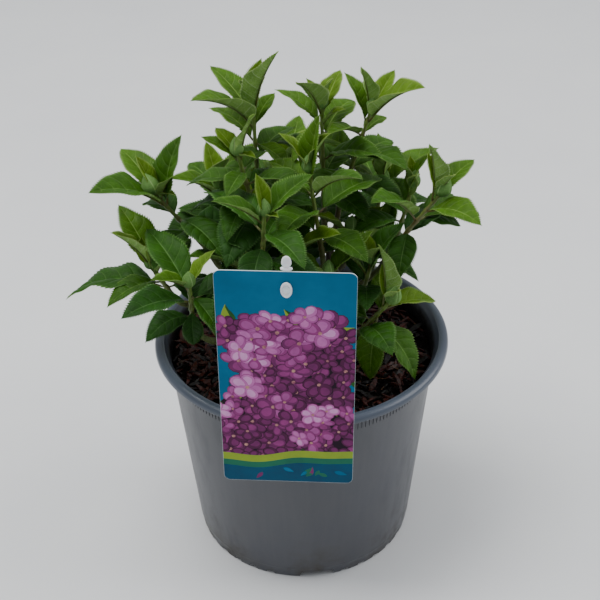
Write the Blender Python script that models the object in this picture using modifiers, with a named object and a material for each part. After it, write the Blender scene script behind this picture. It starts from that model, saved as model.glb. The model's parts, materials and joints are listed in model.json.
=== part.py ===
# Young panicle hydrangea in a round plastic nursery pot, with a label card on a holder stick.
# Units are metres, +Z is up and +X is to the right of someone who faces the card.
# The origin lies under the middle of the pot, on the surface that it stands on.

import math
import random

import bmesh
import bpy
from mathutils import Euler, Vector
from mathutils.bvhtree import BVHTree

MM = 0.001
GAP = 0.3 * MM

# Pot: a tapered wall under a turned-over rim, with a raised floor inside a standing ring
POT_HEIGHT = 0.150
RIM_RADIUS = 0.095
WALL_TOP_RADIUS = 0.0866
WALL_TOP = 0.1415
BASE_RADIUS = 0.0726
WALL = 0.0016
THROAT_DROP = 0.002
RING_WIDTH = 0.0068
RING_DRAFT = 0.0006
FOOT_ROUND = 0.0008
FLOOR_RISE = 0.0046
FLOOR_TOP = 0.0064
PAD_RADIUS = 0.013
PAD_DRAFT = 0.002
POT_STEPS = 48
NOTCH_COUNT = 3
NOTCH_WIDTH = 0.0245
NOTCH_TOP_SHARE = 0.84
NOTCH_FOOT_SHARE = 1.06
NOTCH_DEPTH = 2.4 * RING_WIDTH
NOTCH_RISE = 0.9 * FLOOR_RISE
NOTCH_ANGLE = math.radians(276)
HOLE_COUNT = 6
HOLE_RADIUS = 0.004
HOLE_CIRCLE = 0.046
# Outline of the rim in mm from its outer edge and its top: up the throat, over, down and under
RIM_OUTLINE = ((-8.7, -5.0), (-6.5, -1.0), (-4.9, 0), (-2.0, -0.4), (-0.4, -1.8), (0, -4.8), (-1.3, -5.0),
               (-2.6, -3.0), (-7.5, -5.6))
# Small ledge round the foot of the wall: its heights, and how far the wall stands out there
LEDGE = ((0.0080, 0.0001), (0.0074, -0.0003))

SOIL_TOP = 0.138
SOIL_MOUND = 0.002
SOIL_EDGE = SOIL_TOP - 0.003
SOIL_STEPS = 48
# Radius of each ring of the soil's top, and the share of the mound by which it lies lower
SOIL_RINGS = ((0, 0), (0.030, 0), (0.055, 0.3), (0.078, 1.0))

# Label: a card with rounded corners that hangs on a button at the top of the holder stick
CARD_WIDTH = 0.078
CARD_HEIGHT = 0.157
CARD_THICKNESS = 0.0005
CARD_CORNER = 0.004
CARD_CENTRE = Vector((-0.0089, -0.0984, 0.1842))
CARD_TURN = Euler((math.radians(2.7), math.radians(0.7), math.radians(-3.6)))
BUTTON_DROP = 0.0115
BUTTON_SHIFT = 0.0006
BUTTON_UP = CARD_HEIGHT / 2 - BUTTON_DROP
NECK_RADIUS = 0.0022
BUTTON_SIZE = (0.0072, 0.0026, 0.0102)
STICK_WIDTH = 0.0034
STICK_DEPTH = 0.0018
STICK_FOOT = Vector((-0.0095, -0.0772, 0.112))
STICK_BACK = CARD_THICKNESS / 2 + GAP + STICK_DEPTH / 2
STICK_POINT = 0.012
STICK_POINT_SHARE = 0.25
TIP_SIZE = (0.0066, 0.0030, 0.0080)
TIP_RISE = 0.0062
TIP_TOP_RADIUS = 0.12
SHOULDER_SIZE = (0.0090, STICK_DEPTH, 0.0026)
SHOULDER_RISE = 0.0014
UPPER_SIZE = (STICK_WIDTH, STICK_DEPTH, BUTTON_DROP + 0.004)
UPPER_RISE = 0.001
HOLE_REACH = 0.006
NECK_LENGTH = 2 * STICK_BACK + 0.9 * STICK_DEPTH
ROUND_SEGMENTS = 16

# Wood: one short stem in the soil, boughs that leave it, and side boughs that leave those
STEM_PATH = ((2, 3, 138.3), (2, 3, 141), (3, 1, 155), (4, 0, 176))
STEM_RADII = (8.6, 6.8, 6.2, 5.6, 5.2)
BOUGH_SIDES = 6
SHOOT_SIDES = 4
BOUGH_FOOT_RADIUS = 2.5
BOUGH_TIP_RADIUS = 1.8
SHOOT_TIP_RADIUS = 1.1
SIDE_BOUGH_SHARE = 0.8
STRAIGHT_END = 5 * MM

# Each shoot: its foot and its growing tip in mm, the turn of its lowest pair of leaves in
# degrees, and its pairs from the lowest up: how far below the tip the pair stands in mm, then
# the length in mm and the rise in degrees of one leaf and of the leaf across from it. A last
# number turns the pair out of its crossed place.
SHOOTS = {
    "shoot_back_left": ((-25, 29, 226), (-27, 34, 294), 230, (
        (62, 49, -13, 47, -18), (50, 44, -9, 42, -15), (34.6, 39, 12, 35, -18), (23.4, 42, 17, 30, -40),
        (14, 62, 39, 26, 40), (8, 56, 65, 44, 34), (3, 33, 74, 28, 68))),
    "shoot_left": ((-63, 10, 214), (-89, 6, 252), 40, (
        (36, 44, -18, 46, -14), (25, 40, -6, 44, -10), (14, 59, 29, 47, 72), (8, 27, 58, 47, 24),
        (3, 15, 12, 27, 63, -68))),
    "shoot_far_left": ((-80, -12, 188), (-92, -12, 210), 175, (
        (18, 66, -8, 36, -6), (13, 40, 0, 34, 30, -45), (7, 24, 50, 50, 43, -45),
        (3, 27, 104, 45, 56, -45))),
    "shoot_front_left": ((-65, -47, 189), (-65, -53, 223), 38, (
        (26, 36, -8, 34, -3), (19.5, 40, -6, 25, -76, -35), (14, 50, 13, 44, 4), (8, 36, -28, 52, 28),
        (3, 27, 46, 30, 34))),
    "shoot_centre_left": ((-25, 0, 231), (-36, 0, 281), 250, (
        (45, 50, -6, 48, -10), (36.5, 46, -13, 45, -5), (28.7, 44, 0, 41, -4), (21.8, 42, -10, 45, 14),
        (13, 28, -5, 34, -4), (7, 36, 72, 28, 29), (3, 25, 28, 16, 20, 62))),
    "shoot_front": ((-23, -39, 216), (-20, -44, 265), 225, (
        (43, 51, -22, 43, -22), (34.5, 48, -8, 43, -18), (23.2, 40, -14, 40, -22, 35),
        (14.7, 59, 5, 44, 0, -15), (8, 36, 37, 41, 47, -32), (3, 13, 22, 27, 79))),
    "shoot_centre": ((14, -10, 212), (6, -10, 274), 225, (
        (60, 48, -2, 46, -8), (55.2, 39, -20, 43, -8), (50.5, 35, -41, 41, -8), (45.7, 46, 7, 42, 2),
        (31.4, 56, 6, 57, 5), (18.8, 48, 38, 40, 15), (10, 44, 81, 16, 22), (4, 32, 58, 32, 69, 30))),
    "shoot_back": ((16, 37, 227), (15, 44, 289), 150, (
        (59, 48, -9, 46, -11), (49.2, 46, 0, 44, -2), (35.3, 45, 8, 40, 5), (21.4, 44, 14, 38, 4),
        (13, 38, 30, 22, 45), (6, 43, 52, 33, 36), (3, 25, 71, 22, 60))),
    "shoot_back_right": ((28, 40, 230), (46, 40, 289), 315, (
        (57, 48, -12, 46, -15), (47.4, 44, 0, 40, -4), (33.9, 36, 2, 46, 9), (19.6, 36, 24, 24, 10),
        (11, 57, 43, 34, 61), (4, 31, 45, 35, 75))),
    "shoot_right": ((59, -3, 216), (86, -1, 251), 220, (
        (38, 44, -16, 36, 0), (31, 34, -30, 44, -8, -55), (23, 59, -17, 49, 38), (15, 40, 30, 46, 15),
        (8, 42, 83, 39, 27), (3, 25, 60, 28, 68))),
    "shoot_upper_right": ((62, 17, 211), (71, 19, 246), 10, (
        (26, 40, -8, 40, -4), (18.4, 30, 20, 34, -10), (11, 29, 80, 34, 71), (4, 20, 60, 22, 70))),
    "shoot_front_right": ((37, -29, 170), (55, -33, 195), 295, (
        (27, 39, 9, 38, -14), (20, 46, -42, 36, -10, -60), (14, 36, 30, 43, -69, -45), (8, 48, 85, 38, -7),
        (3, 22, 52, 25, 66))),
    "shoot_inner_right": ((38, -12, 183), (44, -12, 210), 105, (
        (19, 48, 17, 36, 2), (11, 31, 46, 42, 56), (4, 24, 61, 23, 69))),
    "shoot_inner_front": ((16, -26, 184), (17, -27, 213), 20, (
        (20, 42, 0, 44, -6), (14, 44, 24, 37, -4), (5, 38, 38, 40, 45))),
    "shoot_rear_left": ((-46, 50, 197), (-52, 56, 226), 120, (
        (26, 45, -15, 46, -9), (19.5, 47, -5, 47, -7), (14, 47, 14, 48, 16), (8, 45, 38, 44, 39),
        (3, 34, 64, 34, 69))),
    "shoot_rear": ((-6, 66, 197), (-8, 72, 232), 165, (
        (30, 46, -12, 48, -16), (21.4, 46, -6, 46, -7), (14.6, 51, 13, 48, 12), (8, 47, 38, 44, 37),
        (3, 33, 66, 35, 69))),
    "shoot_rear_right": ((50, 56, 197), (56, 62, 226), 105, (
        (26, 46, -9, 46, -15), (19.5, 44, -5, 46, -7), (14, 48, 14, 47, 16), (8, 47, 36, 42, 42),
        (3, 34, 66, 34, 67))),
    "shoot_low_left": ((-29, -9, 182), (-34, -13, 211), 30, (
        (20, 46, -10, 46, -6), (15.2, 47, 15, 45, 9), (8, 46, 31, 39, 39), (3, 30, 65, 30, 61))),
    "shoot_low_centre": ((-2, -7, 192), (-5, -14, 219), 70, (
        (20, 46, -10, 46, -14), (15.2, 47, 13, 45, 9), (8, 44, 32, 39, 39), (3, 44, 39, 30, 61))),
    "shoot_low_right": ((24, 14, 194), (32, 14, 219), 20, (
        (16, 48, -8, 46, -6), (14, 47, 19, 46, 15), (5, 30, 40, 28, 30))),
    "shoot_low_far_right": ((44, 23, 172), (52, 28, 198), 60, (
        (16, 46, -7, 46, -14), (13, 44, 16, 33, -4), (4, 34, 53, 37, 44))),
    "shoot_low_back_left": ((-28, 33, 190), (-36, 37, 217), 75, (
        (18, 46, -10, 46, -8), (14, 50, 16, 43, 16), (5, 38, 48, 38, 45))),
}

# Boughs: the bough or stem that each one leaves, how far up that it leaves it, and the two
# points in mm that it bends past on its way to the foot of its shoot.
BOUGHS = {
    "bough_left": ("stem", 0.30, ((-22, 5, 162), (-48, 10, 190)), "shoot_left"),
    "bough_front_left": ("stem", 0.44, ((-20, -18, 158), (-52, -39, 171)), "shoot_front_left"),
    "bough_front_right": ("stem", 0.30, ((20, -16, 152), (32, -26, 162)), "shoot_front_right"),
    "bough_rear": ("stem", 0.36, ((-1, 26, 158), (-4, 54, 178)), "shoot_rear"),
    "bough_back_left": ("stem", 0.70, ((-9, 16, 186), (-18, 24, 206)), "shoot_back_left"),
    "bough_back_right": ("stem", 0.66, ((16, 18, 180), (23, 33, 206)), "shoot_back_right"),
    "bough_right": ("stem", 0.62, ((26, 0, 176), (50, -4, 200)), "shoot_right"),
    "bough_front": ("stem", 0.74, ((-7, -20, 184), (-18, -35, 200)), "shoot_front"),
    "bough_centre": ("stem", 1.0, ((6, -2, 188), (11, -8, 200)), "shoot_centre"),
    "bough_far_left": ("bough_left", 0.42, ((-46, -4, 175), (-69, -9, 178)), "shoot_far_left"),
    "bough_centre_left": ("bough_back_left", 0.40, ((-18, 14, 203), (-23, 5, 214)), "shoot_centre_left"),
    "bough_rear_left": ("bough_left", 0.26, ((-26, 24, 174), (-40, 42, 184)), "shoot_rear_left"),
    "bough_back": ("bough_back_right", 0.44, ((18, 28, 202), (16, 35, 212)), "shoot_back"),
    "bough_rear_right": ("bough_back_right", 0.24, ((28, 34, 178), (44, 50, 186)), "shoot_rear_right"),
    "bough_upper_right": ("bough_right", 0.50, ((50, 10, 190), (60, 16, 204)), "shoot_upper_right"),
    "bough_inner_right": ("bough_right", 0.26, ((31, -8, 169), (35, -11, 176)), "shoot_inner_right"),
    "bough_inner_front": ("bough_front", 0.20, ((6, -19, 172), (13, -23, 177)), "shoot_inner_front"),
    "bough_low_left": ("bough_front_left", 0.22, ((-22, -10, 164), (-27, -9, 172)), "shoot_low_left"),
    "bough_low_centre": ("bough_front", 0.17, ((-4, -6, 178), (-1, -5, 185)), "shoot_low_centre"),
    "bough_low_right": ("bough_right", 0.14, ((17, 9, 177), (22, 12, 186)), "shoot_low_right"),
    "bough_low_far_right": ("bough_right", 0.30, ((32, 9, 168), (40, 18, 164)), "shoot_low_far_right"),
    "bough_low_back_left": ("bough_back_left", 0.16, ((-13, 23, 174), (-24, 31, 181)), "shoot_low_back_left"),
}

# Leaf: a folded blade on a short stalk, with its width along the blade as a formula
STALK_SHARE = 0.14
WIDTH_SHARE = 0.52
YOUNG_WIDTH_SHARE = 0.42
STALK_WIDTH = 1.4 * MM
LEAF_THICKNESS = 1.0 * MM
SECTION_SHARES = (0.0, 0.16, 0.40, 0.72)
ROOT_DEPTH = 0.4 * MM
KEEL_SHARE = 0.6
OLD_BOW = 0.14
YOUNG_BOW = 0.05
OLD_FOLD = 0.25
YOUNG_FOLD = 0.55
TURN_PLAY = 4
BUD_LENGTH = 13 * MM
BUD_WIDTH = BUD_LENGTH / 2
BUD_DROP = 2 * MM
BUD_RISE = 76
BUD_RISE_PLAY = 4
BUD_TURN_PLAY = 9
BUD_BOW = 0.14
BUD_FOLD = 0.9
NUDGES = ((0, 0, 1.0), (10, 0, 1.0), (-10, 0, 1.0), (0, 10, 1.0), (0, -10, 1.0), (18, 8, 0.92), (-18, 8, 0.92),
          (0, 20, 0.9), (0, -18, 0.9), (12, 0, 0.75), (-12, 0, 0.75), (0, 0, 0.65))
CLEAR = 0.35 * MM
SEED = 7

SHARP_EDGE = math.radians(40)
WELD = 1e-6


def clear_scene():
    for obj in list(bpy.data.objects):
        bpy.data.objects.remove(obj, do_unlink=True)


def new_collection(name):
    collection = bpy.data.collections.new(name)
    bpy.context.scene.collection.children.link(collection)
    return collection


def new_material(name, colour, roughness):
    material = bpy.data.materials.new(name)
    material.use_nodes = True
    shader = material.node_tree.nodes["Principled BSDF"]
    shader.inputs["Base Color"].default_value = (*colour, 1)
    shader.inputs["Roughness"].default_value = roughness
    shader.inputs["Metallic"].default_value = 0.0
    material.diffuse_color = (*colour, 1)
    return material


def add_object(name, data, collection, material=None):
    obj = bpy.data.objects.new(name, data)
    collection.objects.link(obj)
    if material:
        data.materials.clear()
        data.materials.append(material)
    return obj


def mesh_from_bmesh(name, shape):
    bmesh.ops.recalc_face_normals(shape, faces=shape.faces[:])
    mesh = bpy.data.meshes.new(name)
    shape.to_mesh(mesh)
    shape.free()
    return mesh


def evaluated_mesh(obj):
    """The object's mesh with its modifiers or its curve made solid, its caps welded on."""
    bpy.context.view_layer.update()
    evaluated = obj.evaluated_get(bpy.context.evaluated_depsgraph_get())
    mesh = bpy.data.meshes.new_from_object(evaluated)
    shape = bmesh.new()
    shape.from_mesh(mesh)
    bmesh.ops.remove_doubles(shape, verts=shape.verts[:], dist=WELD)
    shape.to_mesh(mesh)
    shape.free()
    return mesh


def make_solid(obj, collection, material):
    """Replace a curve by a mesh object of the same name and place."""
    name = obj.name
    mesh = evaluated_mesh(obj)
    matrix = obj.matrix_world.copy()
    bpy.data.objects.remove(obj, do_unlink=True)
    solid = add_object(name, mesh, collection, material)
    solid.matrix_world = matrix
    return solid


def cut(obj, cutter):
    modifier = obj.modifiers.new("cut " + cutter.name, "BOOLEAN")
    modifier.operation = "DIFFERENCE"
    modifier.object = cutter
    cutter.hide_render = True
    cutter.display_type = "WIRE"


def turned(name, profile, steps, collection, material):
    """A solid of revolution whose profile (radius, height) runs down its outer side."""
    shape = bmesh.new()
    points = [shape.verts.new((radius, 0, height)) for radius, height in profile]
    for first, second in zip(points, points[1:]):
        shape.edges.new((first, second))
    mesh = bpy.data.meshes.new(name)
    shape.to_mesh(mesh)
    shape.free()
    obj = add_object(name, mesh, collection, material)
    screw = obj.modifiers.new("turn", "SCREW")
    screw.steps = screw.render_steps = steps
    screw.use_merge_vertices = True
    screw.merge_threshold = 10 * WELD
    return obj


def smooth_path(points, pieces):
    """Points along a smooth curve that passes through the given ones."""
    anchors = [Vector(point) for point in points]
    anchors = [anchors[0] * 2 - anchors[1], *anchors, anchors[-1] * 2 - anchors[-2]]
    path = []
    for index in range(1, len(anchors) - 2):
        a, b, c, d = anchors[index - 1:index + 3]
        for piece in range(pieces):
            t = piece / pieces
            path.append(0.5 * (2 * b + (c - a) * t + (2 * a - 5 * b + 4 * c - d) * t ** 2
                               + (3 * b - a - 3 * c + d) * t ** 3))
    path.append(anchors[-2])
    return path


def tube(name, path, radii, collection, sides=BOUGH_SIDES):
    """A curve object along the path, whose radius runs evenly through the given radii."""
    curve = bpy.data.curves.new(name, "CURVE")
    curve.dimensions = "3D"
    curve.bevel_depth = MM
    curve.bevel_resolution = (sides - 4) // 2
    curve.use_fill_caps = True
    spline = curve.splines.new("POLY")
    spline.points.add(len(path) - 1)
    for index, place in enumerate(path):
        share = index / (len(path) - 1) * (len(radii) - 1)
        low = min(int(share), len(radii) - 2)
        spline.points[index].co = (*place, 1)
        spline.points[index].radius = radii[low] + (radii[low + 1] - radii[low]) * (share - low)
    return add_object(name, curve, collection)


def wall_radius(height):
    return BASE_RADIUS + (WALL_TOP_RADIUS - BASE_RADIUS) * height / WALL_TOP


def build_pot(collection, cutters, material):
    profile = [
        (0, FLOOR_TOP),
        (wall_radius(FLOOR_TOP) - WALL, FLOOR_TOP),
        (WALL_TOP_RADIUS - WALL, WALL_TOP - THROAT_DROP),
        *[(RIM_RADIUS + across * MM, POT_HEIGHT + up * MM) for across, up in RIM_OUTLINE],
        (WALL_TOP_RADIUS, WALL_TOP),
        *[(wall_radius(height) + out, height) for height, out in LEDGE],
        (BASE_RADIUS, FOOT_ROUND),
        (BASE_RADIUS - FOOT_ROUND, 0),
        (BASE_RADIUS - RING_WIDTH, 0),
        (BASE_RADIUS - RING_WIDTH - RING_DRAFT, FLOOR_RISE),
        (PAD_RADIUS + PAD_DRAFT, FLOOR_RISE),
        (PAD_RADIUS, 0),
        (0, 0),
    ]
    pot = turned("pot", profile, POT_STEPS, collection, material)
    for index in range(NOTCH_COUNT):
        angle = NOTCH_ANGLE + 2 * math.pi * index / NOTCH_COUNT
        cut(pot, notch_cutter("notch_cutter_%d" % index, angle, cutters))
    for index in range(HOLE_COUNT):
        angle = 2 * math.pi * (index + 0.5) / HOLE_COUNT
        cutter = cylinder("hole_cutter_%d" % index, HOLE_RADIUS, 2 * FLOOR_TOP, ROUND_SEGMENTS, cutters)
        cutter.location = (HOLE_CIRCLE * math.cos(angle), HOLE_CIRCLE * math.sin(angle), FLOOR_TOP / 2)
        cut(pot, cutter)
    return pot


def notch_cutter(name, angle, cutters):
    """A wedge with a narrower top that opens the standing ring."""
    shape = bmesh.new()
    bmesh.ops.create_cube(shape, size=1.0)
    for vert in shape.verts:
        top = vert.co.z > 0
        vert.co.x *= NOTCH_DEPTH
        vert.co.y *= NOTCH_WIDTH * (NOTCH_TOP_SHARE if top else NOTCH_FOOT_SHARE)
        vert.co.z = NOTCH_RISE if top else -FLOOR_RISE
    cutter = add_object(name, mesh_from_bmesh(name, shape), cutters)
    reach = BASE_RADIUS - RING_WIDTH / 2
    cutter.location = (reach * math.cos(angle), reach * math.sin(angle), 0)
    cutter.rotation_euler = (0, 0, angle)
    return cutter


def build_soil(collection, material):
    bottom = FLOOR_TOP + GAP
    profile = [
        *[(radius, SOIL_TOP - share * SOIL_MOUND) for radius, share in SOIL_RINGS],
        (wall_radius(SOIL_EDGE) - WALL - GAP, SOIL_EDGE),
        (wall_radius(bottom) - WALL - GAP, bottom),
        (0, bottom),
    ]
    return turned("soil", profile, SOIL_STEPS, collection, material)


def box(name, size, collection, material=None):
    shape = bmesh.new()
    bmesh.ops.create_cube(shape, size=1.0)
    bmesh.ops.scale(shape, vec=size, verts=shape.verts[:])
    return add_object(name, mesh_from_bmesh(name, shape), collection, material)


def cylinder(name, radius, depth, segments, collection):
    shape = bmesh.new()
    bmesh.ops.create_cone(shape, cap_ends=True, segments=segments, radius1=radius, radius2=radius, depth=depth)
    return add_object(name, mesh_from_bmesh(name, shape), collection)


def card_point(front, up, right=BUTTON_SHIFT):
    """A place given from the middle of the card: before its face, up along it and to its right."""
    return CARD_CENTRE + CARD_TURN.to_matrix() @ Vector((right, -front, up))


def stand(obj, place, upright=True):
    """Put a piece on the card's frame, upright in it or lying through it."""
    obj.location = place
    turn = CARD_TURN.to_matrix()
    if not upright:
        turn = turn @ Euler((math.pi / 2, 0, 0)).to_matrix()
    obj.rotation_euler = turn.to_euler()
    return obj


def build_card(collection, cutters, material):
    card = box("label_card", (CARD_WIDTH, CARD_THICKNESS, CARD_HEIGHT), collection, material)
    shape = bmesh.new()
    shape.from_mesh(card.data)
    corners = [edge for edge in shape.edges if abs(edge.verts[0].co.y - edge.verts[1].co.y) > CARD_THICKNESS / 2]
    bmesh.ops.bevel(shape, geom=corners, offset=CARD_CORNER, segments=5, profile=0.5, affect="EDGES")
    shape.to_mesh(card.data)
    shape.free()
    stand(card, CARD_CENTRE)
    hole = cylinder("card_hole_cutter", NECK_RADIUS + GAP, HOLE_REACH, ROUND_SEGMENTS, cutters)
    stand(hole, card_point(0, BUTTON_UP), upright=False)
    cut(card, hole)
    return card


def build_holder(collection, cutters, material):
    """A flat stick with a spear tip over the card and a button through the card's hole."""
    top = CARD_HEIGHT / 2
    head = card_point(-STICK_BACK, BUTTON_UP)
    stick = stick_bar("label_holder", STICK_FOOT, head, STICK_WIDTH / 2, STICK_DEPTH / 2, collection, material)
    neck = cylinder("holder_neck", NECK_RADIUS, NECK_LENGTH, 12, cutters)
    stand(neck, card_point(0, BUTTON_UP), upright=False)
    shape = bmesh.new()
    bmesh.ops.create_uvsphere(shape, u_segments=12, v_segments=6, radius=0.5)
    bmesh.ops.scale(shape, vec=BUTTON_SIZE, verts=shape.verts[:])
    bmesh.ops.bisect_plane(shape, geom=shape.verts[:] + shape.edges[:] + shape.faces[:], plane_co=(0, 0, 0),
                           plane_no=(0, 1, 0), clear_outer=True)
    bmesh.ops.holes_fill(shape, edges=[edge for edge in shape.edges if edge.is_boundary])
    button = add_object("holder_button", mesh_from_bmesh("holder_button", shape), cutters)
    stand(button, card_point(CARD_THICKNESS / 2 + GAP, BUTTON_UP))
    shape = bmesh.new()
    bmesh.ops.create_cone(shape, cap_ends=True, segments=12, radius1=0.5, radius2=TIP_TOP_RADIUS, depth=1.0)
    bmesh.ops.scale(shape, vec=TIP_SIZE, verts=shape.verts[:])
    tip = add_object("holder_tip", mesh_from_bmesh("holder_tip", shape), cutters)
    stand(tip, card_point(-STICK_BACK, top + TIP_RISE))
    shoulder = box("holder_shoulder", SHOULDER_SIZE, cutters)
    stand(shoulder, card_point(-STICK_BACK, top + SHOULDER_RISE))
    upper = box("holder_upper", UPPER_SIZE, cutters)
    stand(upper, card_point(-STICK_BACK, top - BUTTON_DROP / 2 + UPPER_RISE))
    join(stick, (neck, button, tip, shoulder, upper))
    return stick


def stick_bar(name, foot, head, half_width, half_depth, collection, material=None):
    """A flat bar from foot to head, pointed at its foot."""
    along = (head - foot).normalized()
    side = Vector((1, 0, 0))
    side = (side - along * side.dot(along)).normalized()
    front = along.cross(side)
    rings = ((foot, STICK_POINT_SHARE), (foot + along * STICK_POINT, 1.0), (head, 1.0))
    shape = bmesh.new()
    loops = []
    for place, share in rings:
        corners = ((-1, -1), (1, -1), (1, 1), (-1, 1))
        loops.append([shape.verts.new(place + side * a * half_width * share + front * b * half_depth * share)
                      for a, b in corners])
    skin(shape, loops)
    return add_object(name, mesh_from_bmesh(name, shape), collection, material)


def skin(shape, loops):
    """Join rings of points into one closed skin; the last ring may be one point."""
    for lower, upper in zip(loops, loops[1:]):
        count = len(lower)
        for index in range(count):
            following = (index + 1) % count
            if len(upper) == 1:
                shape.faces.new((lower[index], lower[following], upper[0]))
            else:
                shape.faces.new((lower[index], lower[following], upper[following], upper[index]))
    shape.faces.new(loops[0][::-1])
    if len(loops[-1]) > 1:
        shape.faces.new(loops[-1])


def join(obj, others):
    """Fuse the other objects into the first by one Boolean union, and remove them."""
    group = bpy.data.collections.new(obj.name + " pieces")
    bpy.context.scene.collection.children.link(group)
    for other in others:
        for owner in list(other.users_collection):
            owner.objects.unlink(other)
        group.objects.link(other)
    modifier = obj.modifiers.new("join", "BOOLEAN")
    modifier.operation = "UNION"
    modifier.operand_type = "COLLECTION"
    modifier.collection = group
    modifier.solver = "EXACT"
    mesh = evaluated_mesh(obj)
    obj.modifiers.clear()
    materials = list(obj.data.materials)
    obj.data = mesh
    mesh.materials.clear()
    for material in materials:
        mesh.materials.append(material)
    for other in others:
        bpy.data.objects.remove(other, do_unlink=True)
    bpy.data.collections.remove(group)
    keep_outer_skin(mesh)


def keep_outer_skin(mesh):
    """Drop loose scraps and the skins of sealed hollows, and keep the largest body."""
    shape = bmesh.new()
    shape.from_mesh(mesh)
    unseen = set(shape.verts)
    bodies = []
    while unseen:
        start = unseen.pop()
        body = {start}
        stack = [start]
        while stack:
            for edge in stack.pop().link_edges:
                for vert in edge.verts:
                    if vert in unseen:
                        unseen.remove(vert)
                        body.add(vert)
                        stack.append(vert)
        bodies.append(body)
    largest = max(bodies, key=len)
    loose = [vert for body in bodies if body is not largest for vert in body]
    if loose:
        bmesh.ops.delete(shape, geom=loose, context="VERTS")
    shape.to_mesh(mesh)
    shape.free()


def leaf_axes(azimuth, rise):
    """The way a leaf points, its side and its upper face's way, from two angles in degrees."""
    a = math.radians(azimuth)
    r = math.radians(rise)
    along = Vector((math.cos(r) * math.cos(a), math.cos(r) * math.sin(a), math.sin(r)))
    side = Vector((-math.sin(a), math.cos(a), 0))
    return along, side, along.cross(side)


def blade_width(share, width):
    """Width of the blade at a share of the leaf's length: an oval drawn out to a point."""
    if share <= STALK_SHARE:
        return STALK_WIDTH
    t = (share - STALK_SHARE) / (1 - STALK_SHARE)
    return STALK_WIDTH * (1 - t) + width * math.sin(math.pi * t ** 0.85) ** 0.9


def leaf_solid(base, leaf, extra=0.0):
    """A closed three-sided blade: rings of left edge, right edge and keel, and a point."""
    along, side, up = leaf_axes(leaf["azimuth"], leaf["rise"])
    length = leaf["length"] + extra
    shape = bmesh.new()
    loops = []
    for share in SECTION_SHARES:
        half = blade_width(share, leaf["width"]) / 2 + extra
        reach = max(share * length, ROOT_DEPTH)
        centre = base + along * reach + up * leaf["bow"] * length * 4 * share * (1 - share)
        lift = up * (STALK_WIDTH / 4 + extra + (half - STALK_WIDTH / 2) * leaf["fold"] / 3)
        keel = up * (LEAF_THICKNESS * KEEL_SHARE + extra)
        loops.append([shape.verts.new(centre - side * half + lift),
                      shape.verts.new(centre + side * half + lift),
                      shape.verts.new(centre - keel)])
    loops.append([shape.verts.new(base + along * length)])
    skin(shape, loops)
    bmesh.ops.recalc_face_normals(shape, faces=shape.faces[:])
    return shape


def shoot_leaves(name):
    """All leaves of one shoot: its pairs, each a quarter turn on, and the closed pair on top."""
    foot, tip, turn, pairs = SHOOTS[name]
    foot = Vector(foot) * MM
    tip = Vector(tip) * MM
    dice = random.Random(SEED + list(SHOOTS).index(name))
    leaves = []
    down = (foot - tip).normalized()
    for order, (drop, *pair) in enumerate(pairs):
        age = 1 - order / (len(pairs) - 1)
        node = tip + down * drop * MM
        twist = pair[4] if len(pair) > 4 else 0
        for half, (length, rise) in enumerate((pair[:2], pair[2:4])):
            width_share = YOUNG_WIDTH_SHARE + (WIDTH_SHARE - YOUNG_WIDTH_SHARE) * age
            leaves.append((node, {
                "azimuth": turn + twist + 90 * order + 180 * half + dice.uniform(-TURN_PLAY, TURN_PLAY),
                "rise": rise,
                "length": length * MM,
                "width": length * MM * width_share,
                "bow": YOUNG_BOW + (OLD_BOW - YOUNG_BOW) * age,
                "fold": YOUNG_FOLD + (OLD_FOLD - YOUNG_FOLD) * age,
            }))
    lean = turn + 90 * len(pairs)
    for half in (0, 1):
        leaves.append((tip + down * BUD_DROP, {
            "azimuth": lean + 180 * half + dice.uniform(-BUD_TURN_PLAY, BUD_TURN_PLAY),
            "rise": BUD_RISE + dice.uniform(-BUD_RISE_PLAY, BUD_RISE_PLAY),
            "length": BUD_LENGTH,
            "width": BUD_WIDTH,
            "bow": BUD_BOW,
            "fold": BUD_FOLD,
        }))
    return leaves


def tree_of(shape):
    return BVHTree.FromBMesh(shape)


def tree_of_object(obj):
    mesh = evaluated_mesh(obj)
    mesh.transform(obj.matrix_world)
    shape = bmesh.new()
    shape.from_mesh(mesh)
    tree = tree_of(shape)
    shape.free()
    bpy.data.meshes.remove(mesh)
    return tree


def place_leaf(base, leaf, obstacles):
    """The leaf as given, or nudged until it is clear of every obstacle, or None."""
    for turn, lift, share in NUDGES:
        trial = dict(leaf, azimuth=leaf["azimuth"] + turn, rise=leaf["rise"] + lift,
                     length=leaf["length"] * share, width=leaf["width"] * share)
        hull = leaf_solid(base, trial, CLEAR)
        tree = tree_of(hull)
        hull.free()
        if not any(tree.overlap(obstacle) for obstacle in obstacles):
            return trial
    return None


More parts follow.
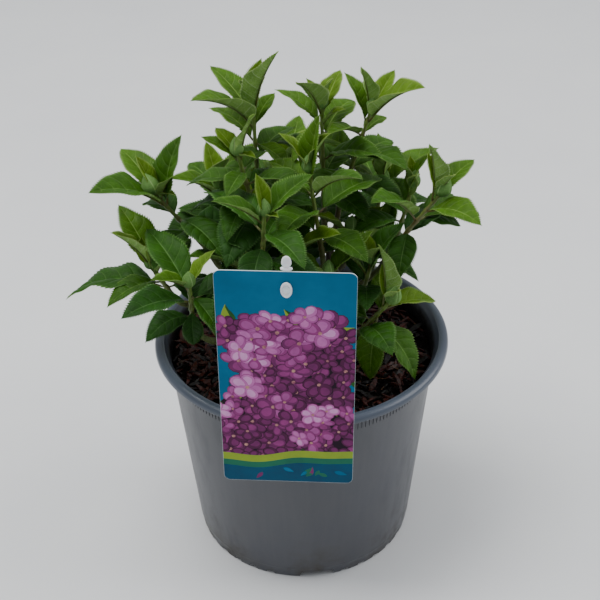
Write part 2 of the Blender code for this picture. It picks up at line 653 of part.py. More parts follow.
def build_wood(collection, cutters, material):
    """The stem and its boughs; each bough's foot is cut 0.3 mm clear of what it leaves."""
    stem_points = [Vector(point) * MM for point in STEM_PATH]
    paths = {"stem": [stem_points[0], *smooth_path(stem_points[1:], 2)]}
    radii = {"stem": STEM_RADII}
    stem = make_solid(tube("main_stem", paths["stem"], STEM_RADII, collection), collection, material)
    wood = {"stem": stem}
    for name, (parent, share, bends, shoot) in BOUGHS.items():
        foot, tip = (Vector(point) * MM for point in SHOOTS[shoot][:2])
        end = foot - (tip - foot).normalized() * GAP
        before_end = end - (tip - foot).normalized() * STRAIGHT_END
        bends = [Vector(bend) * MM for bend in bends]
        start = point_along(paths[parent], share)
        if share < 1.0:
            path = smooth_path([start, *bends, before_end], 2)
        else:
            way = (paths[parent][-1] - paths[parent][-2]).normalized()
            path = [start + way * GAP, *smooth_path([start + way * STRAIGHT_END, *bends, before_end], 2)]
        radii[name] = (BOUGH_FOOT_RADIUS * (SIDE_BOUGH_SHARE if parent in BOUGHS else 1.0), BOUGH_TIP_RADIUS)
        paths[name] = [*path, end]
        bough = make_solid(tube(name, paths[name], radii[name], collection), collection, material)
        if share < 1.0:
            wider = [radius + GAP / MM for radius in radii[parent]]
            cutter = tube(name + "_seat_cutter", paths[parent], wider, cutters)
            cut(bough, make_solid(cutter, cutters, material))
        wood[name] = bough
    return wood


def point_along(path, share):
    """The point at a share of the path's length."""
    steps = [(b - a).length for a, b in zip(path, path[1:])]
    left = share * sum(steps)
    for step, first, second in zip(steps, path, path[1:]):
        if left <= step:
            return first + (second - first) * (left / step)
        left -= step
    return path[-1].copy()


def build_shoots(collection, cutters, obstacles, material):
    """The masses of leaves: one stem each, with its leaves fused on."""
    stems = {}
    for name in SHOOTS:
        foot, tip = (Vector(point) * MM for point in SHOOTS[name][:2])
        path = [foot, tip]
        stem = tube(name, path, (BOUGH_TIP_RADIUS, SHOOT_TIP_RADIUS), collection, SHOOT_SIDES)
        stems[name] = make_solid(stem, collection, material)
    stem_trees = {name: tree_of_object(stem) for name, stem in stems.items()}
    leaf_trees = {name: [] for name in SHOOTS}
    solids = {name: [] for name in SHOOTS}
    orders = max(len(pairs) for foot, tip, turn, pairs in SHOOTS.values()) + 1
    for order in range(orders):
        for name in SHOOTS:
            leaves = shoot_leaves(name)
            leaves = leaves[::-1][2 * order:2 * order + 2]
            others = [tree for other, tree in stem_trees.items() if other != name]
            others += [tree for other in SHOOTS if other != name for tree in leaf_trees[other]]
            for base, leaf in leaves:
                placed = place_leaf(base, leaf, obstacles + others)
                if placed is None:
                    print("skipped a leaf of", name)
                    continue
                shape = leaf_solid(base, placed)
                leaf_trees[name].append(tree_of(shape))
                mesh = mesh_from_bmesh(name + "_leaf", shape)
                solids[name].append(add_object("%s_leaf_%d" % (name, len(solids[name])), mesh, cutters))
    for name, stem in stems.items():
        join(stem, solids[name])


def main():
    clear_scene()
    parts = new_collection("potted_panicle_hydrangea")
    cutters = new_collection("cutters")
    grey = new_material("grey pot plastic", (0.16, 0.17, 0.18), 0.42)
    peat = new_material("dark peat", (0.020, 0.013, 0.009), 0.95)
    print_card = new_material("printed card", (0.02, 0.16, 0.26), 0.35)
    white = new_material("white holder plastic", (0.78, 0.80, 0.82), 0.4)
    bark = new_material("young bark", (0.16, 0.13, 0.05), 0.7)
    green = new_material("leaf green", (0.06, 0.15, 0.02), 0.5)

    pot = build_pot(parts, cutters, grey)
    soil = build_soil(parts, peat)
    card = build_card(parts, cutters, print_card)
    holder = build_holder(parts, cutters, white)
    socket = stick_bar("socket_cutter", STICK_FOOT - Vector((0, 0, GAP)), card_point(-STICK_BACK, BUTTON_UP),
                       STICK_WIDTH / 2 + GAP, STICK_DEPTH / 2 + GAP, cutters)
    cut(soil, socket)
    wood = build_wood(parts, cutters, bark)
    fixed = [pot, soil, card, holder, *wood.values()]
    build_shoots(parts, cutters, [tree_of_object(obj) for obj in fixed], green)
    for obj in parts.objects:
        obj.data.shade_smooth()
        obj.data.set_sharp_from_angle(angle=SHARP_EDGE)


main()
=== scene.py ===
# %% [markdown]
# # A young panicle hydrangea in its nursery pot
# This lesson dresses a plain solid model of a potted shrub: a grey plastic pot with dark peat,
# short woody boughs, crossed pairs of toothed leaves, and a printed card on a white holder.
# The solid model is loaded first and stays as it is. Every new piece is built in its space.

# %% Load the solid model
import json
import math
import random

import bmesh
import bpy
from mathutils import Euler, Matrix, Vector, noise
from mathutils.geometry import delaunay_2d_cdt
from mathutils.kdtree import KDTree

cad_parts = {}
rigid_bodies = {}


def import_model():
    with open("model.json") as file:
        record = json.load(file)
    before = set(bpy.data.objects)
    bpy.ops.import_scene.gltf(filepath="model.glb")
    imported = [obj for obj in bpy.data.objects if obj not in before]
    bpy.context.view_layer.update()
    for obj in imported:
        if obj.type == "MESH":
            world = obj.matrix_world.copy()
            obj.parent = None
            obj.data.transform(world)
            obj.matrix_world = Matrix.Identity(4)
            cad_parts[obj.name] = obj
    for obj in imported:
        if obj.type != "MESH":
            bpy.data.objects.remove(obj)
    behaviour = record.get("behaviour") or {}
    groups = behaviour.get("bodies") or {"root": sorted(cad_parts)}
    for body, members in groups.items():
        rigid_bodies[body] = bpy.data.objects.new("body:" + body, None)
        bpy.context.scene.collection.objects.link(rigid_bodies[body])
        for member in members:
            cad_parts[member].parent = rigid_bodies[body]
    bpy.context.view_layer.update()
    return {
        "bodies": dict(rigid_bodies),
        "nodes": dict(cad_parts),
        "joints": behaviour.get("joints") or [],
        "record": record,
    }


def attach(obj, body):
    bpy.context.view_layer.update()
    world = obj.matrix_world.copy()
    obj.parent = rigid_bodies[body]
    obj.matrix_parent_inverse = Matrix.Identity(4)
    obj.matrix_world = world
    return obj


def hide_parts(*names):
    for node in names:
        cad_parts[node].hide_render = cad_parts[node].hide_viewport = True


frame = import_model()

MM = 0.001
cad_nodes = frame["nodes"]

# %% [markdown]
# ## Camera
# The camera stands 0.83 m from the plant and looks down at it by about 34 degrees, with a
# slightly long lens, so the pot's sides converge only a little. It could be placed by hand, but a
# direction, a roll and a distance say the same in four numbers.

# %% Camera
CAMERA_ELEVATION = math.radians(34.30)
CAMERA_ROLL = math.radians(-1.08)
CAMERA_DISTANCE = 0.830
CAMERA_TARGET = Vector((-0.000475, 0, 0.17423))
LENS_MM = 78

back_way = Vector((0, -math.cos(CAMERA_ELEVATION), math.sin(CAMERA_ELEVATION)))
level_right = Vector((1, 0, 0))
level_up = level_right.cross(-back_way)
camera_right = level_right * math.cos(CAMERA_ROLL) + level_up * math.sin(CAMERA_ROLL)
camera_up = level_up * math.cos(CAMERA_ROLL) - level_right * math.sin(CAMERA_ROLL)
camera_data = bpy.data.cameras.new("photo_camera")
camera_data.lens = LENS_MM
camera = bpy.data.objects.new("photo_camera", camera_data)
bpy.context.scene.collection.objects.link(camera)
camera.matrix_world = (Matrix.Translation(CAMERA_TARGET + back_way * CAMERA_DISTANCE)
                       @ Matrix((camera_right, camera_up, back_way)).transposed().to_4x4())
bpy.context.scene.camera = camera
print("camera at", [round(value, 3) for value in camera.matrix_world.translation])

# %% [markdown]
# ## Small helpers for meshes
# Each piece is shaped in a bmesh and then becomes an object that sits at the origin, with its
# place in its mesh. One helper does that for all pieces, and seats them on the model's root.
# Leaves, buds and tubes all start as a flat grid, because the grid brings its own UV map.

# %% Mesh helpers
WELD = 2e-6


def mesh_of(name, shape):
    """The bmesh as a mesh; the bmesh itself is freed."""
    mesh = bpy.data.meshes.new(name)
    shape.to_mesh(mesh)
    shape.free()
    return mesh


def add_object(name, data):
    made = bpy.data.objects.new(name, data)
    bpy.context.scene.collection.objects.link(made)
    return made


def add_piece(name, shape, slot, *materials, smooth=True):
    """Make the finished bmesh a piece of the model."""
    mesh = mesh_of(name, shape)
    for material in materials:
        mesh.materials.append(material)
    if smooth:
        mesh.shade_smooth()
    piece = add_object(name, mesh)
    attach(piece, "root")
    print("%-22s %6d faces" % (name, len(mesh.polygons)))
    return piece


def outward(shape):
    """Turn all faces of the bmesh outwards; gives the bmesh."""
    bmesh.ops.recalc_face_normals(shape, faces=shape.faces[:])
    return shape


def gather(whole, shape, matrix=Matrix()):
    """Add a finished bmesh to a larger one, placed by the matrix."""
    mesh = mesh_of("part", shape)
    mesh.transform(matrix)
    whole.from_mesh(mesh)
    bpy.data.meshes.remove(mesh)


def stamp(whole, template, matrix):
    """Add a copy of the template mesh to the bmesh, placed by the matrix."""
    template.transform(matrix)
    whole.from_mesh(template)
    template.transform(matrix.inverted())


def bent_grid(across, along, place):
    """A grid as a bmesh, whose vertices go where place(x, row) says: x is -1 to 1, row 0 to 1."""
    shape = bmesh.new()
    shape.loops.layers.uv.new("UVMap")
    sheet = bmesh.ops.create_grid(shape, x_segments=across, y_segments=along, size=1.0, calc_uvs=True)
    for vert in sheet["verts"]:
        vert.co = place(vert.co.x, (vert.co.y + 1) / 2)
    bmesh.ops.remove_doubles(shape, verts=shape.verts[:], dist=WELD)
    return shape


# %% [markdown]
# ## Small helpers for materials
# A procedural material is a chain of small nodes. Building it by hand takes three lines a node, so
# a small class adds one node with its links in one call. A material below then reads from top to
# bottom like a recipe. Colours are the six digits that paint programs show.

# %% Colours
def linear(digits):
    """The colour as the shader wants it."""
    channels = [int(digits[index:index + 2], 16) / 255 for index in (0, 2, 4)]
    return (*((c / 12.92 if c <= 0.04045 else ((c + 0.055) / 1.055) ** 2.4) for c in channels), 1.0)


print("mid grey for the shader:", [round(channel, 3) for channel in linear("808080")])


# %% Recipe of nodes
class Recipe:
    """A node tree and the ways to add to it."""

    def __init__(self, tree):
        self.tree = tree

    def link(self, value, socket):
        self.tree.links.new(value, socket)

    def node(self, kind, inputs=(), **settings):
        """A new node, whose inputs are linked where a socket is given and set where a value is."""
        made = self.tree.nodes.new("ShaderNode" + kind)
        for setting, value in settings.items():
            setattr(made, setting, value)
        for key, value in dict(inputs).items():
            if isinstance(value, bpy.types.NodeSocket):
                self.link(value, made.inputs[key])
            else:
                made.inputs[key].default_value = linear(value) if isinstance(value, str) else value
        return made

    def calculate(self, operation, first, second=0.0):
        return self.node("Math", {0: first, 1: second}, operation=operation).outputs[0]

    def spread(self, value, low, high, to_low=0.0, to_high=1.0):
        """The value stretched from one range to another, and held inside it."""
        return self.node("MapRange", {0: value, 1: low, 2: high, 3: to_low, 4: to_high}).outputs[0]

    def mix(self, share, first, second, blend="MIX"):
        made = self.node("Mix", {0: share, 6: first, 7: second}, data_type="RGBA", blend_type=blend)
        return made.outputs[2]

    def stain(self, mask, most, first, second, blend="MIX"):
        """The second colour over the first where the mask is, and at most by the given share."""
        return self.mix(self.spread(mask, 0, 1, 0, most), first, second, blend)

    def place(self, stretch=(1, 1, 1)):
        """The point on the object, in metres, stretched where a pattern is longer one way."""
        point = self.node("TexCoord").outputs["Object"]
        return self.node("Mapping", {"Vector": point, "Scale": stretch}).outputs[0]

    def group(self, recipe, inputs):
        """Place a node group, given by its recipe; gives its outputs."""
        return self.node("Group", inputs, node_tree=recipe.tree).outputs

    def mottled(self, place, scale, low=0.35, high=0.65):
        return self.group(mottle, {"Vector": place, "Scale": scale, "Low": low, "High": high})["Mask"]

    def grain(self, place, scale):
        return self.group(grain, {"Vector": place, "Scale": scale})["Height"]


# %% Skins
class Skin(Recipe):
    """The recipe of a material, with constants of its main shader set."""

    def __init__(self, name, **constants):
        self.material = bpy.data.materials.new(name)
        self.material.use_nodes = True
        super().__init__(self.material.node_tree)
        self.shader = self.tree.nodes["Principled BSDF"].inputs
        for key, value in constants.items():
            self.shader[key.replace("_", " ")].default_value = value

    def finish(self, colour, relief=None, distance=0.0, strength=1.0):
        """Feed the shader its colour and its relief; gives the material."""
        self.link(colour, self.shader["Base Color"])
        if relief is not None:
            bump = self.node("Bump", {"Height": relief, "Distance": distance, "Strength": strength})
            self.link(bump.outputs[0], self.shader["Normal"])
        print("material:", self.material.name)
        return self.material


# %% [markdown]
# ## Two shared effects
# Nearly every surface here has soft blotches, and most have a fine grain. Each effect is one node
# group with its own inputs, placed in every material that needs it with that material's values.

# %% Shared effects
def new_group(name, inputs, *outputs):
    """A node group with named inputs and outputs; gives its recipe and both rows of sockets."""
    tree = bpy.data.node_groups.new(name, "ShaderNodeTree")
    for way, labels in (("INPUT", inputs), ("OUTPUT", dict.fromkeys(outputs))):
        for label, value in labels.items():
            kind = "NodeSocketVector" if label.startswith("Vector") else "NodeSocketFloat"
            socket = tree.interface.new_socket(label, in_out=way, socket_type=kind)
            if value is not None:
                socket.default_value = value
    return Recipe(tree), tree.nodes.new("NodeGroupInput").outputs, tree.nodes.new("NodeGroupOutput").inputs


mottle, source, sink = new_group("mottle", {"Vector": None, "Scale": 20.0, "Low": 0.35, "High": 0.65}, "Mask")
cloud = mottle.node("TexNoise", {"Vector": source["Vector"], "Scale": source["Scale"], "Detail": 5.0,
                                 "Roughness": 0.6})
mottle.link(mottle.spread(cloud.outputs[0], source["Low"], source["High"]), sink["Mask"])

grain, source, sink = new_group("grain", {"Vector": None, "Scale": 400.0}, "Height")
fine = grain.node("TexNoise", {"Vector": source["Vector"], "Scale": source["Scale"], "Detail": 3.0})
wide_scale = grain.calculate("MULTIPLY", source["Scale"], 0.23)
wide = grain.node("TexNoise", {"Vector": source["Vector"], "Scale": wide_scale, "Detail": 2.0})
faint = grain.calculate("MULTIPLY", fine.outputs[0], 0.4)
grain.link(grain.calculate("ADD", faint, wide.outputs[0]), sink["Height"])
print("shared effects:", mottle.tree.name, "and", grain.tree.name)

# %% [markdown]
# ## The growth plan
# The shrub grows by one rule. A short stem splits into boughs, and each bough ends in a leafy shoot
# whose leaves stand in crossed pairs, a quarter turn apart, largest below and closed at the tip.
# The solid model was grown from the same numbers, so they are repeated here, and every fine leaf
# takes the place of one plain leaf.

# %% Growth plan
GAP = 0.3 * MM
# Wood: one short stem in the soil, boughs that leave it, and side boughs that leave those
STEM_PATH = ((2, 3, 138.3), (2, 3, 141), (3, 1, 155), (4, 0, 176))
STEM_RADII = (8.6, 6.8, 6.2, 5.6, 5.2)
BOUGH_FOOT_RADIUS = 2.5
BOUGH_TIP_RADIUS = 1.8
SIDE_BOUGH_SHARE = 0.8
SHOOT_TIP_RADIUS = 1.1
STRAIGHT_END = 5 * MM

# Each shoot: its foot and its growing tip in mm, the turn of its lowest pair of leaves in
# degrees, and its pairs from the lowest up: how far below the tip the pair stands in mm, then
# the length in mm and the rise in degrees of one leaf and of the leaf across from it. A last
# number turns the pair out of its crossed place.
SHOOTS = {
    "shoot_back_left": ((-25, 29, 226), (-27, 34, 294), 230, (
        (62, 49, -13, 47, -18), (50, 44, -9, 42, -15), (34.6, 39, 12, 35, -18), (23.4, 42, 17, 30, -40),
        (14, 62, 39, 26, 40), (8, 56, 65, 44, 34), (3, 33, 74, 28, 68))),
    "shoot_left": ((-63, 10, 214), (-89, 6, 252), 40, (
        (36, 44, -18, 46, -14), (25, 40, -6, 44, -10), (14, 59, 29, 47, 72), (8, 27, 58, 47, 24),
        (3, 15, 12, 27, 63, -68))),
    "shoot_far_left": ((-80, -12, 188), (-92, -12, 210), 175, (
        (18, 66, -8, 36, -6), (13, 40, 0, 34, 30, -45), (7, 24, 50, 50, 43, -45),
        (3, 27, 104, 45, 56, -45))),
    "shoot_front_left": ((-65, -47, 189), (-65, -53, 223), 38, (
        (26, 36, -8, 34, -3), (19.5, 40, -6, 25, -76, -35), (14, 50, 13, 44, 4), (8, 36, -28, 52, 28),
        (3, 27, 46, 30, 34))),
    "shoot_centre_left": ((-25, 0, 231), (-36, 0, 281), 250, (
        (45, 50, -6, 48, -10), (36.5, 46, -13, 45, -5), (28.7, 44, 0, 41, -4), (21.8, 42, -10, 45, 14),
        (13, 28, -5, 34, -4), (7, 36, 72, 28, 29), (3, 25, 28, 16, 20, 62))),
    "shoot_front": ((-23, -39, 216), (-20, -44, 265), 225, (
        (43, 51, -22, 43, -22), (34.5, 48, -8, 43, -18), (23.2, 40, -14, 40, -22, 35),
        (14.7, 59, 5, 44, 0, -15), (8, 36, 37, 41, 47, -32), (3, 13, 22, 27, 79))),
    "shoot_centre": ((14, -10, 212), (6, -10, 274), 225, (
        (60, 48, -2, 46, -8), (55.2, 39, -20, 43, -8), (50.5, 35, -41, 41, -8), (45.7, 46, 7, 42, 2),
        (31.4, 56, 6, 57, 5), (18.8, 48, 38, 40, 15), (10, 44, 81, 16, 22), (4, 32, 58, 32, 69, 30))),
    "shoot_back": ((16, 37, 227), (15, 44, 289), 150, (
        (59, 48, -9, 46, -11), (49.2, 46, 0, 44, -2), (35.3, 45, 8, 40, 5), (21.4, 44, 14, 38, 4),
        (13, 38, 30, 22, 45), (6, 43, 52, 33, 36), (3, 25, 71, 22, 60))),
    "shoot_back_right": ((28, 40, 230), (46, 40, 289), 315, (
        (57, 48, -12, 46, -15), (47.4, 44, 0, 40, -4), (33.9, 36, 2, 46, 9), (19.6, 36, 24, 24, 10),
        (11, 57, 43, 34, 61), (4, 31, 45, 35, 75))),
    "shoot_right": ((59, -3, 216), (86, -1, 251), 220, (
        (38, 44, -16, 36, 0), (31, 34, -30, 44, -8, -55), (23, 59, -17, 49, 38), (15, 40, 30, 46, 15),
        (8, 42, 83, 39, 27), (3, 25, 60, 28, 68))),
    "shoot_upper_right": ((62, 17, 211), (71, 19, 246), 10, (
        (26, 40, -8, 40, -4), (18.4, 30, 20, 34, -10), (11, 29, 80, 34, 71), (4, 20, 60, 22, 70))),
    "shoot_front_right": ((37, -29, 170), (55, -33, 195), 295, (
        (27, 39, 9, 38, -14), (20, 46, -42, 36, -10, -60), (14, 36, 30, 43, -69, -45), (8, 48, 85, 38, -7),
        (3, 22, 52, 25, 66))),
    "shoot_inner_right": ((38, -12, 183), (44, -12, 210), 105, (
        (19, 48, 17, 36, 2), (11, 31, 46, 42, 56), (4, 24, 61, 23, 69))),
    "shoot_inner_front": ((16, -26, 184), (17, -27, 213), 20, (
        (20, 42, 0, 44, -6), (14, 44, 24, 37, -4), (5, 38, 38, 40, 45))),
    "shoot_rear_left": ((-46, 50, 197), (-52, 56, 226), 120, (
        (26, 45, -15, 46, -9), (19.5, 47, -5, 47, -7), (14, 47, 14, 48, 16), (8, 45, 38, 44, 39),
        (3, 34, 64, 34, 69))),
    "shoot_rear": ((-6, 66, 197), (-8, 72, 232), 165, (
        (30, 46, -12, 48, -16), (21.4, 46, -6, 46, -7), (14.6, 51, 13, 48, 12), (8, 47, 38, 44, 37),
        (3, 33, 66, 35, 69))),
    "shoot_rear_right": ((50, 56, 197), (56, 62, 226), 105, (
        (26, 46, -9, 46, -15), (19.5, 44, -5, 46, -7), (14, 48, 14, 47, 16), (8, 47, 36, 42, 42),
        (3, 34, 66, 34, 67))),
    "shoot_low_left": ((-29, -9, 182), (-34, -13, 211), 30, (
        (20, 46, -10, 46, -6), (15.2, 47, 15, 45, 9), (8, 46, 31, 39, 39), (3, 30, 65, 30, 61))),
    "shoot_low_centre": ((-2, -7, 192), (-5, -14, 219), 70, (
        (20, 46, -10, 46, -14), (15.2, 47, 13, 45, 9), (8, 44, 32, 39, 39), (3, 44, 39, 30, 61))),
    "shoot_low_right": ((24, 14, 194), (32, 14, 219), 20, (
        (16, 48, -8, 46, -6), (14, 47, 19, 46, 15), (5, 30, 40, 28, 30))),
    "shoot_low_far_right": ((44, 23, 172), (52, 28, 198), 60, (
        (16, 46, -7, 46, -14), (13, 44, 16, 33, -4), (4, 34, 53, 37, 44))),
    "shoot_low_back_left": ((-28, 33, 190), (-36, 37, 217), 75, (
        (18, 46, -10, 46, -8), (14, 50, 16, 43, 16), (5, 38, 48, 38, 45))),
}

# Boughs: the bough or stem that each one leaves, how far up that it leaves it, and the two
# points in mm that it bends past on its way to the foot of the shoot with the same place in its
# name.
BOUGHS = {
    "bough_left": ("stem", 0.30, ((-22, 5, 162), (-48, 10, 190))),
    "bough_front_left": ("stem", 0.44, ((-20, -18, 158), (-52, -39, 171))),
    "bough_front_right": ("stem", 0.30, ((20, -16, 152), (32, -26, 162))),
    "bough_rear": ("stem", 0.36, ((-1, 26, 158), (-4, 54, 178))),
    "bough_back_left": ("stem", 0.70, ((-9, 16, 186), (-18, 24, 206))),
    "bough_back_right": ("stem", 0.66, ((16, 18, 180), (23, 33, 206))),
    "bough_right": ("stem", 0.62, ((26, 0, 176), (50, -4, 200))),
    "bough_front": ("stem", 0.74, ((-7, -20, 184), (-18, -35, 200))),
    "bough_centre": ("stem", 1.0, ((6, -2, 188), (11, -8, 200))),
    "bough_far_left": ("bough_left", 0.42, ((-46, -4, 175), (-69, -9, 178))),
    "bough_centre_left": ("bough_back_left", 0.40, ((-18, 14, 203), (-23, 5, 214))),
    "bough_rear_left": ("bough_left", 0.26, ((-26, 24, 174), (-40, 42, 184))),
    "bough_back": ("bough_back_right", 0.44, ((18, 28, 202), (16, 35, 212))),
    "bough_rear_right": ("bough_back_right", 0.24, ((28, 34, 178), (44, 50, 186))),
    "bough_upper_right": ("bough_right", 0.50, ((50, 10, 190), (60, 16, 204))),
    "bough_inner_right": ("bough_right", 0.26, ((31, -8, 169), (35, -11, 176))),
    "bough_inner_front": ("bough_front", 0.20, ((6, -19, 172), (13, -23, 177))),
    "bough_low_left": ("bough_front_left", 0.22, ((-22, -10, 164), (-27, -9, 172))),
    "bough_low_centre": ("bough_front", 0.17, ((-4, -6, 178), (-1, -5, 185))),
    "bough_low_right": ("bough_right", 0.14, ((17, 9, 177), (22, 12, 186))),
    "bough_low_far_right": ("bough_right", 0.30, ((32, 9, 168), (40, 18, 164))),
    "bough_low_back_left": ("bough_back_left", 0.16, ((-13, 23, 174), (-24, 31, 181))),
}

# Leaf: how wide it is for its length when old and when young, the nudges that it may have had in
# degrees of turn, degrees of rise and share of size, its sway in degrees off the crossed place, and
# how near its tip a corner has to be
WIDTH_SHARE = 0.52
YOUNG_WIDTH_SHARE = 0.42
NUDGES = ((0, 0, 1.0), (10, 0, 1.0), (-10, 0, 1.0), (0, 10, 1.0), (0, -10, 1.0), (18, 8, 0.92),
          (-18, 8, 0.92), (0, 20, 0.9), (0, -18, 0.9), (12, 0, 0.75), (-12, 0, 0.75), (0, 0, 0.65))
AZIMUTH_SWAY = 4
TIP_MATCH = 0.1 * MM
SEED = 7


def shoot_ends(name):
    """Foot, growing tip and way of one shoot."""
    foot, tip = (Vector(point) * MM for point in SHOOTS[name][:2])
    return foot, tip, (tip - foot).normalized()


print("plan:", len(BOUGHS), "boughs and", len(SHOOTS), "shoots")

# %% [markdown]
# Before the fine leaves are made, the rule deals out their places. In the solid model a leaf that
# touched something was nudged, and where no nudge helped, it was left out. Testing for touches once
# more would be slow. Each plain leaf ends in one sharp corner, so a place is in use where its mass
# has a corner at the leaf's tip, and a search tree of the corners finds that fast.

# %% Ways of a leaf
def leaf_ways(leaf):
    """The way a leaf points, its side and its upper face's way."""
    a, r = math.radians(leaf["azimuth"]), math.radians(leaf["rise"])
    along = Vector((math.cos(r) * math.cos(a), math.cos(r) * math.sin(a), math.sin(r)))
    side = Vector((-math.sin(a), math.cos(a), 0))
    return along, side, along.cross(side)


# %% Leaves of one shoot
def shoot_leaves(name):
    """The open leaves of one shoot with their base points: its pairs, each a quarter turn on."""
    _, tip, way = shoot_ends(name)
    turn, pairs = SHOOTS[name][2:]
    dice = random.Random(SEED + list(SHOOTS).index(name))
    leaves = []
    for order, (drop, *pair) in enumerate(pairs):
        age = 1 - order / (len(pairs) - 1)
        width_share = YOUNG_WIDTH_SHARE + (WIDTH_SHARE - YOUNG_WIDTH_SHARE) * age
        twist = pair[4] if len(pair) > 4 else 0
        for half, (length, rise) in enumerate((pair[:2], pair[2:4])):
            azimuth = turn + twist + 90 * order + 180 * half + dice.uniform(-AZIMUTH_SWAY, AZIMUTH_SWAY)
            leaves.append((tip - way * drop * MM, {
                "azimuth": azimuth, "rise": rise, "length": length * MM, "width": length * MM * width_share,
                "bow": 0.05 + 0.09 * age, "age": age,
            }))
    return leaves


# %% Deal out the places
def deal_places(name):
    """The leaves of a shoot that found room, from the tip down, as pairs of base point and leaf."""
    corners = cad_nodes[name].data.vertices
    tips = KDTree(len(corners))
    for corner in corners:
        tips.insert(corner.co, corner.index)
    tips.balance()
    found = []
    for base, leaf in reversed(shoot_leaves(name)):
        for turn, lift, share in NUDGES:
            trial = dict(leaf, azimuth=leaf["azimuth"] + turn, rise=leaf["rise"] + lift,
                         length=leaf["length"] * share, width=leaf["width"] * share)
            if tips.find(base + leaf_ways(trial)[0] * trial["length"])[2] < TIP_MATCH:
                found.append((base, trial))
                break
    return found


placed_leaves = {name: deal_places(name) for name in SHOOTS}
leaf_count = sum(len(leaves) for leaves in placed_leaves.values())
print("leaves placed:", leaf_count, "of", sum(len(shoot_leaves(name)) for name in SHOOTS))

# %% [markdown]
# ## Tubes from rolled grids
# Boughs, leaf stalks, midribs and straws are all tapering tubes. Rolling a flat grid round a path
# gives a tube whose UV map follows it, and both ends shrink to a point, so the skin is closed.

# %% Tube helpers
def path_frames(path, count):
    """Evenly spaced places along a path, each with two ways across it that don't twist."""
    lengths = [0.0]
    for first, second in zip(path, path[1:]):
        lengths.append(lengths[-1] + (second - first).length)
    frames = []
    span = 0
    side = (path[1] - path[0]).normalized().orthogonal()
    for index in range(count):
        reach = lengths[-1] * index / (count - 1)
        while span < len(path) - 2 and lengths[span + 1] < reach:
            span += 1
        way = (path[span + 1] - path[span]).normalized()
        side = (side - way * side.dot(way)).normalized()
        share = (reach - lengths[span]) / max(lengths[span + 1] - lengths[span], 1e-9)
        frames.append((path[span].lerp(path[span + 1], share), side.copy(), way.cross(side)))
    return frames


def rolled_tube(path, radius_at, sides, rings):
    """A closed tube along the path as a bmesh; radius_at(share, turn) shapes it."""
    frames = path_frames(path, rings + 1)

    def roll(across, row):
        turn = math.pi * across
        ring = round(row * rings)
        place, side, front = frames[ring]
        radius = radius_at(ring / rings, turn) if 0 < ring < rings else 0
        return place + (side * math.cos(turn) + front * math.sin(turn)) * radius
    return outward(bent_grid(sides, rings, roll))


# %% Smooth paths
def smooth_path(points, pieces):
    """Points along a smooth curve that passes through the given ones."""
    anchors = [Vector(point) for point in points]
    anchors = [anchors[0] * 2 - anchors[1], *anchors, anchors[-1] * 2 - anchors[-2]]
    path = []
    for index in range(1, len(anchors) - 2):
        a, b, c, d = anchors[index - 1:index + 3]
        for piece in range(pieces):
            t = piece / pieces
            path.append(0.5 * (2 * b + (c - a) * t + (2 * a - 5 * b + 4 * c - d) * t ** 2
                               + (3 * b - a - 3 * c + d) * t ** 3))
    path.append(anchors[-2])
    return path


def path_steps(path):
    return [(second - first).length for first, second in zip(path, path[1:])]


def point_along(path, share):
    """The point at a share of the path's length."""
    left = share * sum(path_steps(path))
    for step, first, second in zip(path_steps(path), path, path[1:]):
        if left <= step:
            return first + (second - first) * (left / step)
        left -= step
    return path[-1].copy()


# %% [markdown]
# ## Bark and young stems
# Low down the wood is brown and ridged, with pale pores; towards each shoot it turns olive and then
# green. Painting each bough would be slow, so the colour follows the tube's own UV map, whose V
# runs from foot to tip, and fine long ridges are modelled in the skin.

# %% Wood materials
def wood_material(name, low, middle, high, roughness):
    """Wood that changes colour from foot to tip, with long streaks and small pores."""
    skin = Skin(name, Roughness=roughness)
    along = skin.node("SeparateXYZ", {0: skin.node("UVMap").outputs[0]}).outputs[1]
    colour = skin.mix(skin.spread(along, 0.05, 0.45), low, middle)
    colour = skin.mix(skin.spread(along, 0.50, 0.95), colour, high)
    colour = skin.stain(skin.mottled(skin.place(), 75, 0.52, 0.66), 0.6, colour, "54301c")
    colour = skin.stain(skin.mottled(skin.place((1, 1, 0.12)), 900), 0.45, colour, "2c2416", "MULTIPLY")
    colour = skin.stain(skin.mottled(skin.place((1, 1, 0.6)), 700, 0.66, 0.72), 0.55, colour, "a89a74")
    return skin.finish(colour, skin.grain(skin.place((1, 1, 0.2)), 1400), 0.0002, 0.6)


bark = wood_material("young bark", "33241a", "4b4a26", "58682e", 0.65)
green_stem = wood_material("green stem", "5c6026", "607228", "698632", 0.5)

# %% Shape of the bark
BARK_SIDES = 16
BARK_RINGS = 56
RIDGES = 5
RIDGE_SHARE = 0.07
ROUGH_SHARE = 0.10
ROUGH_PER_METRE = 260
NODE_SPACING = 0.024
STEM_SIDES, STEM_RINGS = 28, 40
STEM_ROUGH_SHARE = 0.08
STEM_RIDGE_SHARE = 0.05


def roughness_at(turn, along):
    """Smooth noise over the skin of a tube, from -1 to 1."""
    return noise.noise(Vector((math.cos(turn) * 2, math.sin(turn) * 2, along)))


def bark_radius(low, length, seed):
    """Radius along a bough: tapering, ridged, rough, and swollen where old leaves stood."""
    def radius_at(share, turn):
        plain = (low + (BOUGH_TIP_RADIUS - low) * share) * 0.9 * MM
        ridges = RIDGE_SHARE * math.cos(RIDGES * turn + seed)
        rough = ROUGH_SHARE * roughness_at(turn, share * length * ROUGH_PER_METRE + seed)
        swelling = 0.22 * math.exp(-((share * length / NODE_SPACING + 0.5) % 1 - 0.5) ** 2 / 0.006)
        return plain * (1 + ridges + rough + swelling)
    return radius_at


